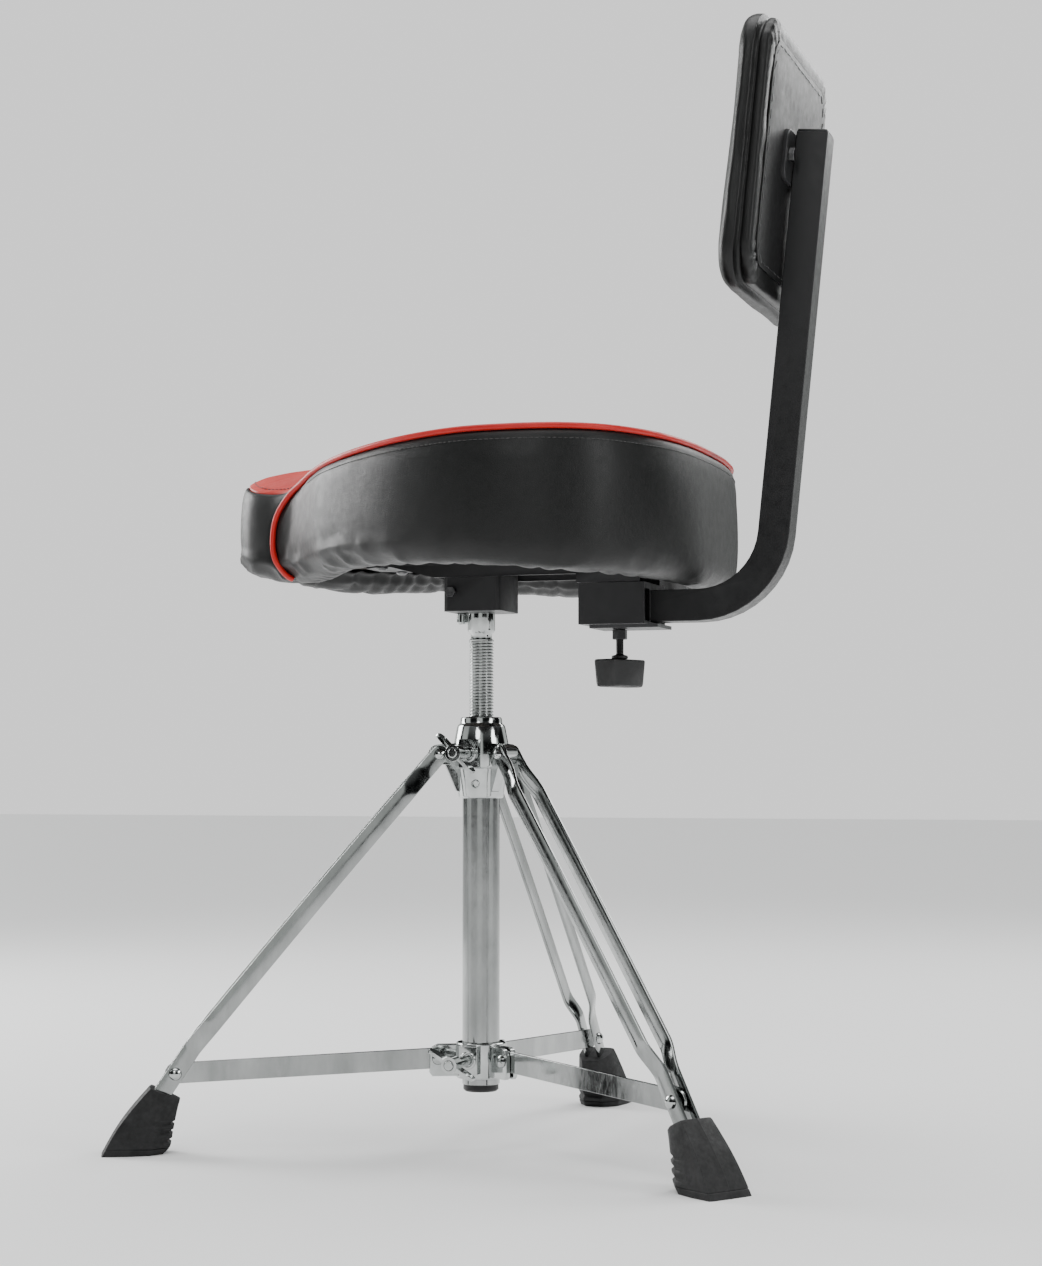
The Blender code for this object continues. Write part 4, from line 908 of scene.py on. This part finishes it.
# The piping leaves the top edge here and runs down the nose's seam: outline point, grid row.
NOSE_SEAM = [(5.6, 3.6), (4.9, 3.9), (4.3, 4.8), (3.75, 6.6), (3.32, 9.0), (3.02, 12.0),
             (2.92, 15.5), (2.97, 19.0), (3.10, 21.5), (3.22, 23.2), (3.34, 24.8)]


def piping_path(grid):
    """From one nose seam's foot, up and round the top edge, to the other's."""
    start, edge_row = NOSE_SEAM[0]
    edge = [(start + (HALF_WAY - start) * i / 14, edge_row) for i in range(1, 15)]
    half = NOSE_SEAM[::-1] + edge
    full = half + [(2 * HALF_WAY - s, r) for s, r in reversed(half[:-1])]
    route = smooth_curve(full, 18)
    points = np.array([look_up(grid, s, r) for s, r in route])
    outward = np.array([mix(OUTWARD[int(s * STEPS) % COLUMNS],
                            OUTWARD[(int(s * STEPS) + 1) % COLUMNS],
                            s * STEPS - int(s * STEPS)) for s, r in route])
    on_edge = np.array([ease((6.0 - r) / 2.4) for _, r in route])
    points[:, :2] += outward * (0.0006 * (1 - on_edge) + 0.0002)[:, None]
    points[:, 2] += 0.0018 * on_edge
    return points


def ridged(x, y, z):
    """Creases: sharp ridges of a smooth noise, 0 to 1."""
    return (1.0 - abs(noise.noise(Vector((x, y, z))))) ** 3


def simulate(obj, pins, pressure, shrink, cap, frames=18):
    """Lets a panel of leather settle under its filling's pressure. The pinned points
    hold, no point moves further than cap, and the result is left on the mesh."""
    start = np.empty(len(obj.data.vertices) * 3, np.float32)
    obj.data.vertices.foreach_get("co", start)
    group = obj.vertex_groups.new(name="pins")
    for index, weight in enumerate(pins):
        if weight > 0:
            group.add([index], float(weight), "REPLACE")
    cloth = obj.modifiers.new("settle", "CLOTH")
    rules = cloth.settings
    rules.quality = 6
    rules.mass = 0.25
    rules.tension_stiffness = 40
    rules.compression_stiffness = 25
    rules.shear_stiffness = 12
    rules.bending_stiffness = 2.0
    rules.air_damping = 4
    rules.use_pressure = True
    rules.uniform_pressure_force = pressure
    rules.shrink_min = shrink
    rules.vertex_group_mass = "pins"
    rules.effector_weights.gravity = 0
    cloth.point_cache.frame_start = 1
    cloth.point_cache.frame_end = frames
    for number in range(1, frames + 1):
        bpy.context.scene.frame_set(number)
    graph = bpy.context.evaluated_depsgraph_get()
    settled = obj.evaluated_get(graph).to_mesh()
    moved = np.empty(len(start), np.float32)
    settled.vertices.foreach_get("co", moved)
    obj.evaluated_get(graph).to_mesh_clear()
    obj.modifiers.remove(cloth)
    bpy.context.scene.frame_set(1)
    step = (moved - start).reshape(-1, 3)
    length = np.linalg.norm(step, axis=1)
    length[length < 1e-9] = 1e-9
    step *= np.minimum(1.0, cap / length)[:, None]
    obj.data.vertices.foreach_set("co", (start.reshape(-1, 3) + step).ravel())
    obj.data.update()


def thickened(obj, depth):
    """A panel's cut thickness, inward from the face that shows."""
    change = obj.modifiers.new("thickness", "SOLIDIFY")
    change.thickness = depth
    change.offset = -1


def displace(obj, shift):
    """Moves each of a mesh's points along its normal by shift(point)."""
    normals = [v.normal.copy() for v in obj.data.vertices]
    for vertex, normal in zip(obj.data.vertices, normals):
        vertex.co += normal * shift(vertex.co)
    obj.data.update()


def hold(obj, points):
    """Puts a mesh's first points back where they were, for its seam."""
    for vertex, point in zip(obj.data.vertices, points):
        vertex.co = point


def nearness(tree, point, width):
    """1 on a line of points, falling to 0 over width."""
    distance = tree.find(point)[2]
    return math.exp(-(distance / width) ** 2)


def line_tree(path):
    tree = KDTree(len(path))
    for index, point in enumerate(path):
        tree.insert(point, index)
    tree.balance()
    return tree


def build_seat_side(grid, piping):
    """The black side panel: settled, then creased low down and gathered under the rim."""
    rows = len(grid)
    points = [Vector(p) + AXIS for p in grid.reshape(-1, 3)]
    faces = grid_faces(rows, COLUMNS)
    side = piece("seat_side_panel", points, faces, LEATHER, "seat", 60)
    pins = np.zeros(len(points))
    for row in range(rows):
        held = max(0.0, 1.0 - min(row - 3, rows - 9 - row) / 3.0)
        pins[row * COLUMNS:(row + 1) * COLUMNS] = min(1.0, held)
    simulate(side, pins, pressure=1.3, shrink=0.0, cap=0.0026)

    seam = line_tree(piping)

    def shift(place):
        local = place - AXIS
        turn = math.atan2(local.x, -local.y)
        rim = np.interp(abs(turn), TURNS, RIM[HALF])
        radius = float(np.interp(abs(turn), TURNS, RADII))
        above = (local.z - rim) / SIDE_TALL
        soft = noise.noise(local * 14.0) * 0.0011
        low = ease((0.42 - above) / 0.34)
        front = ease((0.05 - local.y) / 0.10)
        skew = Vector((local.x * 34 + local.z * 26, local.y * 34 - local.z * 22, local.z * 46))
        crease = (ridged(*skew) - 0.55) * 0.0030 * low * (0.35 + 0.65 * front)
        roll = math.exp(-((above - 0.17) / 0.055) ** 2) * 0.0016 * front
        inside = ease((radius - 0.014 - math.hypot(local.x, local.y)) / 0.014)
        gather_turn = turn * 30 + noise.noise(local * 30) * 2.2
        gather = (abs(math.sin(gather_turn)) ** 0.6 - 0.6) * 0.0030 * inside
        groove = -0.0013 * nearness(seam, place, 0.0036)
        edge = ease((above - 1.02) / 0.03)
        return (soft + crease + roll) * (1 - edge) * (1 - inside) + gather + groove

    displace(side, shift)
    hold(side, points[:2 * COLUMNS])
    thickened(side, LEATHER_THICK)
    return side


# The top's section, edge to middle: scale of the outline, rise above the top edge and
# share of SEAT_PEAK.
TOP_SECTION = [
    (1.000, -0.0046, 0.00), (1.000, 0.0000, 0.00), (0.990, 0.0026, 0.00), (0.965, 0.0052, 0.00),
    (0.920, 0.0070, 0.03), (0.850, 0.0078, 0.10), (0.750, 0.0070, 0.24), (0.620, 0.0048, 0.48),
    (0.480, 0.0028, 0.72), (0.330, 0.0014, 0.88), (0.170, 0.0004, 0.98), (0.020, 0.0000, 1.00),
]
TOP_INSET = 0.0070
TOP_TUCK = 0.0088
TOP_STEPS = 4


def top_grid():
    controls = []
    for index, (scale, rise, of_peak) in enumerate(TOP_SECTION):
        inset = TOP_TUCK if index == 0 else TOP_INSET
        spot = (PLACE - OUTWARD * inset) * scale
        height = mix(TOP, SEAT_PEAK, of_peak) + rise
        controls.append(np.column_stack([spot, height]))
    stacked = np.array(controls).reshape(len(controls), -1)
    return smooth_curve(stacked, TOP_STEPS).reshape(-1, COLUMNS, 3)


def cut_panel(source, name, material, keep_front):
    """The part of the top in front of, or behind, the patch's seam, as its own panel."""
    mesh = source.data.copy()
    shell = bmesh.new()
    shell.from_mesh(mesh)
    plane = AXIS + Vector((0, PATCH_EDGE, 0))
    bmesh.ops.bisect_plane(
        shell, geom=shell.verts[:] + shell.edges[:] + shell.faces[:], dist=0.00001,
        plane_co=plane, plane_no=(0, 1, 0), clear_outer=keep_front, clear_inner=not keep_front)
    shell.to_mesh(mesh)
    shell.free()
    obj = shown(name, mesh, material, "seat")
    thickened(obj, LEATHER_THICK)
    return obj


def build_seat_top(piping):
    """The crowned top, settled in one and then cut into the black top and red patch."""
    grid = top_grid()
    rows = len(grid)
    points = [Vector(p) + AXIS for p in grid.reshape(-1, 3)]
    faces = grid_faces(rows, COLUMNS)
    faces.append(tuple(range((rows - 1) * COLUMNS, rows * COLUMNS)))
    top = piece("seat_top_whole", points, faces, LEATHER, "seat", 60)
    pins = np.zeros(len(points))
    pins[: 7 * COLUMNS] = 1.0
    simulate(top, pins, pressure=0.9, shrink=0.0, cap=0.0022, frames=14)
    seam = line_tree(piping)

    def shift(place):
        local = place - AXIS
        soft = noise.noise(local * 11.0) * 0.0012
        across = (local.y - PATCH_EDGE) / 0.0032
        groove = -0.0012 * math.exp(-across * across)
        wall = -0.0006 * nearness(seam, place, 0.0040)
        return soft + groove + wall

    displace(top, shift)
    hold(top, points[:5 * COLUMNS])
    main = cut_panel(top, "seat_top_panel", LEATHER, keep_front=False)
    patch = cut_panel(top, "nose_patch", RED_LEATHER, keep_front=True)
    bpy.data.objects.remove(top, do_unlink=True)
    return grid, main, patch


def build_seat():
    grid = side_grid()
    piping = [Vector(p) + AXIS for p in piping_path(grid)]
    side = build_seat_side(grid, piping)
    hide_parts("seat_cover", "seat_foam")
    tops, main, patch = build_seat_top(piping)

    points, faces = tube_shell(piping, PIPING_R, 14)
    cord = piece("seat_piping_finish", points, faces, RED_PIPING, "seat", 70)
    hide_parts("seat_piping", "nose_piping_left", "nose_piping_right")

    # A stitched line on the side panel, just below the piping.
    stations = np.linspace(4.9, 2 * HALF_WAY - 4.9, 420)
    line = [Vector(look_up(grid, s, 7.6)) + AXIS for s in stations]
    stitches("side_stitches", laid_on(side, line), "seat", BLACK_THREAD)

    # The patch's own stitches, along its front edge and on both sides of its seam.
    front = [Vector(look_up(tops, s, 10.5)) + AXIS for s in np.linspace(-3.3, 3.3, 130)]
    stitches("patch_edge_stitches", laid_on(patch, front), "seat", BLACK_THREAD)
    from_seam = 0.0042
    for name, panel, offset, slot in (
            ("patch_seam_stitches", patch, -from_seam, "red_piping"),
            ("top_seam_stitches", main, from_seam, "black_leather")):
        spots = [AXIS + Vector((x, PATCH_EDGE + offset, 0.540))
                 for x in np.linspace(-0.074, 0.074, 60)]
        stitches(name, laid_on(panel, spots), "seat", BLACK_THREAD)


# ---------------------------------------------------------------- backrest
def pad_outline(inset, steps=12, run=16):
    """Half widths drawn in by inset, with round corners and closely sampled sides."""
    corner = max(PAD_CORNER - inset * 0.6, 0.004)
    half_x, half_z = PAD_HALF_WIDTH - inset, PAD_HALF_HEIGHT - inset
    corner = min(corner, half_x, half_z)
    loop = []
    for quarter, (sx, sz) in enumerate(QUARTERS):
        cx, cz = sx * (half_x - corner), sz * (half_z - corner)
        for step in range(steps + 1):
            t = math.pi / 2 * (quarter + step / steps)
            loop.append((cx + corner * math.cos(t), cz + corner * math.sin(t)))
        nx, nz = QUARTERS[(quarter + 1) % 4]
        t = math.pi / 2 * (quarter + 1)
        ex = nx * (half_x - corner) + corner * math.cos(t)
        ez = nz * (half_z - corner) + corner * math.sin(t)
        last = loop[-1]
        for step in range(1, run):
            loop.append((mix(last[0], ex, step / run), mix(last[1], ez, step / run)))
    return loop


# The backrest cover's section from its stapled edge on the back, round the board's
# edge, over the seam and the side, to the front: inset and depth from the back face.
PAD_SECTION = [
    (0.0210, 0.0006), (0.0165, 0.0012), (0.0110, 0.0014), (0.0070, 0.0008), (0.0046, -0.0008),
    (0.0040, -0.0034), (0.0041, -0.0060), (0.0050, -0.0080), (0.0034, -0.0094),
    (0.0008, -0.0108), (0.0000, -0.0135), (0.0002, -0.0175), (0.0022, -0.0215),
    (0.0070, -0.0252), (0.0160, -0.0282), (0.0300, -0.0304), (0.0500, -0.0318),
    (0.0720, -0.0324), (0.0960, -0.0326),
]
PAD_STEPS = 3
PAD_SEAM_ROW = 8 * PAD_STEPS


def pad_frame():
    """The pad's own frame, on its board's back face, its Z up the leaning pad."""
    low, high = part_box("backrest_board")
    middle_z = (low.z + high.z) / 2
    half = (high.z - low.z) / 2
    back_y = high.y - half * math.tan(BAR_LEAN)
    return Matrix.Translation((AXIS.x, back_y, middle_z)) @ Matrix.Rotation(-BAR_LEAN, 4, "X")


def build_pad_cover(place):
    """The padded cover, with puckers at the corners where it is pulled over the board."""
    rows = smooth_curve(PAD_SECTION, PAD_STEPS)
    rings = [[place @ Vector((a, depth, b)) for a, b in pad_outline(inset)]
             for inset, depth in rows]
    count = len(rings[0])
    points = [p for ring in rings for p in ring]
    faces = grid_faces(len(rings), count)
    faces.append(tuple(range((len(rings) - 1) * count, len(rings) * count)))
    pad = piece("backrest_cover", points, faces, PAD_LEATHER, "backrest", 60)
    pins = np.zeros(len(points))
    pins[: (PAD_SEAM_ROW + 1) * count] = 1.0
    pins[(PAD_SEAM_ROW + 1) * count:(PAD_SEAM_ROW + 3) * count] = 0.5
    simulate(pad, pins, pressure=1.2, shrink=-0.002, cap=0.0024, frames=16)
    back = place.inverted()

    def shift(point):
        local = back @ point
        a, depth, b = local
        corner = (ease((abs(a) - 0.062) / 0.030) * ease((abs(b) - 0.058) / 0.030))
        turn = math.atan2(b, a)
        around = turn * 44 + noise.noise(local * 40) * 1.6
        on_back = ease((depth + 0.010) / 0.009)
        pucker = (abs(math.sin(around)) ** 0.7 - 0.6) * 0.0026 * corner * on_back
        edge_waves = noise.noise(Vector((a * 60, b * 60, depth * 30))) * 0.0007 * on_back
        soft = noise.noise(local * 15) * 0.0013 * (1 - on_back)
        side_crease = (ridged(a * 26, b * 26 + depth * 60, depth * 40) - 0.6) * 0.0012
        on_side = ease((depth + 0.026) / 0.008) * (1 - on_back)
        return pucker + edge_waves + soft + side_crease * on_side * (0.4 + corner)

    displace(pad, shift)
    thickened(pad, 0.0010)
    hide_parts("backrest_cushion")


def build_lining(place):
    """The stiff black lining over the board, cut a little unevenly."""
    ragged = []
    for a, b in pad_outline(0.0185):
        wave = 1 + 0.006 * noise.noise(Vector((a * 90, b * 90, 3.0)))
        ragged.append((a * wave, b * wave))
    rings = []
    for scale, depth in ((1.0, 0.0012), (1.0, 0.0021), (0.985, 0.0024), (0.60, 0.0019),
                         (0.05, 0.0018)):
        ring = []
        for a, b in ragged:
            dent = 0.0002 * noise.noise(Vector((a * 20, b * 20, 0)))
            ring.append(place @ Vector((a * scale, depth - dent, b * scale)))
        rings.append(ring)
    points, faces = shell_of(rings)
    lining = piece("backrest_lining", points, faces, LINING, "backrest", 50)
    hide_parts("backrest_board")


def build_staples(place):
    """A row of small staples, none quite straight, round the lining's edge."""
    out = (place.to_3x3() @ Vector((0, 1, 0))).normalized()
    hem = [place @ Vector((a, 0.0026, b)) for a, b in pad_outline(0.0225)]
    spots = resampled(hem + hem[:1], 0.0125)[:-1]
    shells = []
    for index, spot in enumerate(spots):
        along = (spots[(index + 1) % len(spots)] - spot).normalized()
        swing = Matrix.Rotation(0.18 * noise.noise(spot * 70), 4, out)
        half = swing @ along * 0.0036
        leg = out * 0.0012
        path = [spot - half - leg, spot - half, spot + half, spot + half - leg]
        shells.append(tube_shell(path, 0.00030, 6, hint=out))
    points, faces = joined(*shells)
    piece("backrest_staples", points, faces, DARK_BOLT, "backrest", 50)


# ---------------------------------------------------------------- small hardware
RIVETS = tuple(f"collar_rivet_{leg}" for leg in "abc")
RIVETS += tuple(f"leg_{leg}_hub_rivet" for leg in "abc")
RIVETS += tuple(f"leg_{leg}_foot_rivet_{word}" for leg in "abc" for word in ("left", "right"))
HARDWARE = [
    # nodes, material, slot, edge width
    (("hub_lock_bolt", "hub_lock_wing", "collar_lock_bolt", "collar_lock_wing"),
     CHROME, "chrome", 0.0004),
    (RIVETS, CHROME, "chrome", 0.0),
    (("receiver_stop_nut",), CHROME, "chrome", 0.0003),
    (("thread_nut",), ZINC, "bolt_steel", 0.0003),
    (("receiver_bolt",), DARK_BOLT, "bolt_steel", 0.0003),
    (("plate_screw_1", "plate_screw_2", "plate_screw_3", "plate_screw_4"),
     DARK_BOLT, "bolt_steel", 0.0002),
    (("bracket_bolt_left", "bracket_bolt_right"), DARK_BOLT, "bolt_steel", 0.0004),
    (("seat_receiver", "backrest_bracket"), BLACK_COAT, "black_steel", 0.0009),
    (("seat_mount_plate",), BLACK_COAT, "black_steel", 0.0006),
    (("clamp_housing", "clamp_nut", "clamp_screw"), BLACK_COAT, "black_steel", 0.0007),
    (("backrest_bar",), BLACK_COAT, "black_steel", 0.0017),
    (("post_plug", "bar_end_cap"), PLASTIC, "black_plastic", 0.0005),
    (("knob_handle",), PLASTIC, "black_plastic", 0.0016),
    (("seat_board",), BOARD, "plywood", 0.0005),
]


def build_hardware():
    for nodes, material, slot, width in HARDWARE:
        for node in nodes:
            refined(node, material, width, segments=3 if width > 0.001 else 2)


# ---------------------------------------------------------------- everything
build_camera()
build_floor()
build_world()
build_lamps()
build_post()
build_hub()
build_collar()
build_rod()
for leg in LEG_AZIMUTHS:
    build_leg(leg)
build_hardware()
build_seat()
pad_place = pad_frame()
build_pad_cover(pad_place)
build_lining(pad_place)
build_staples(pad_place)
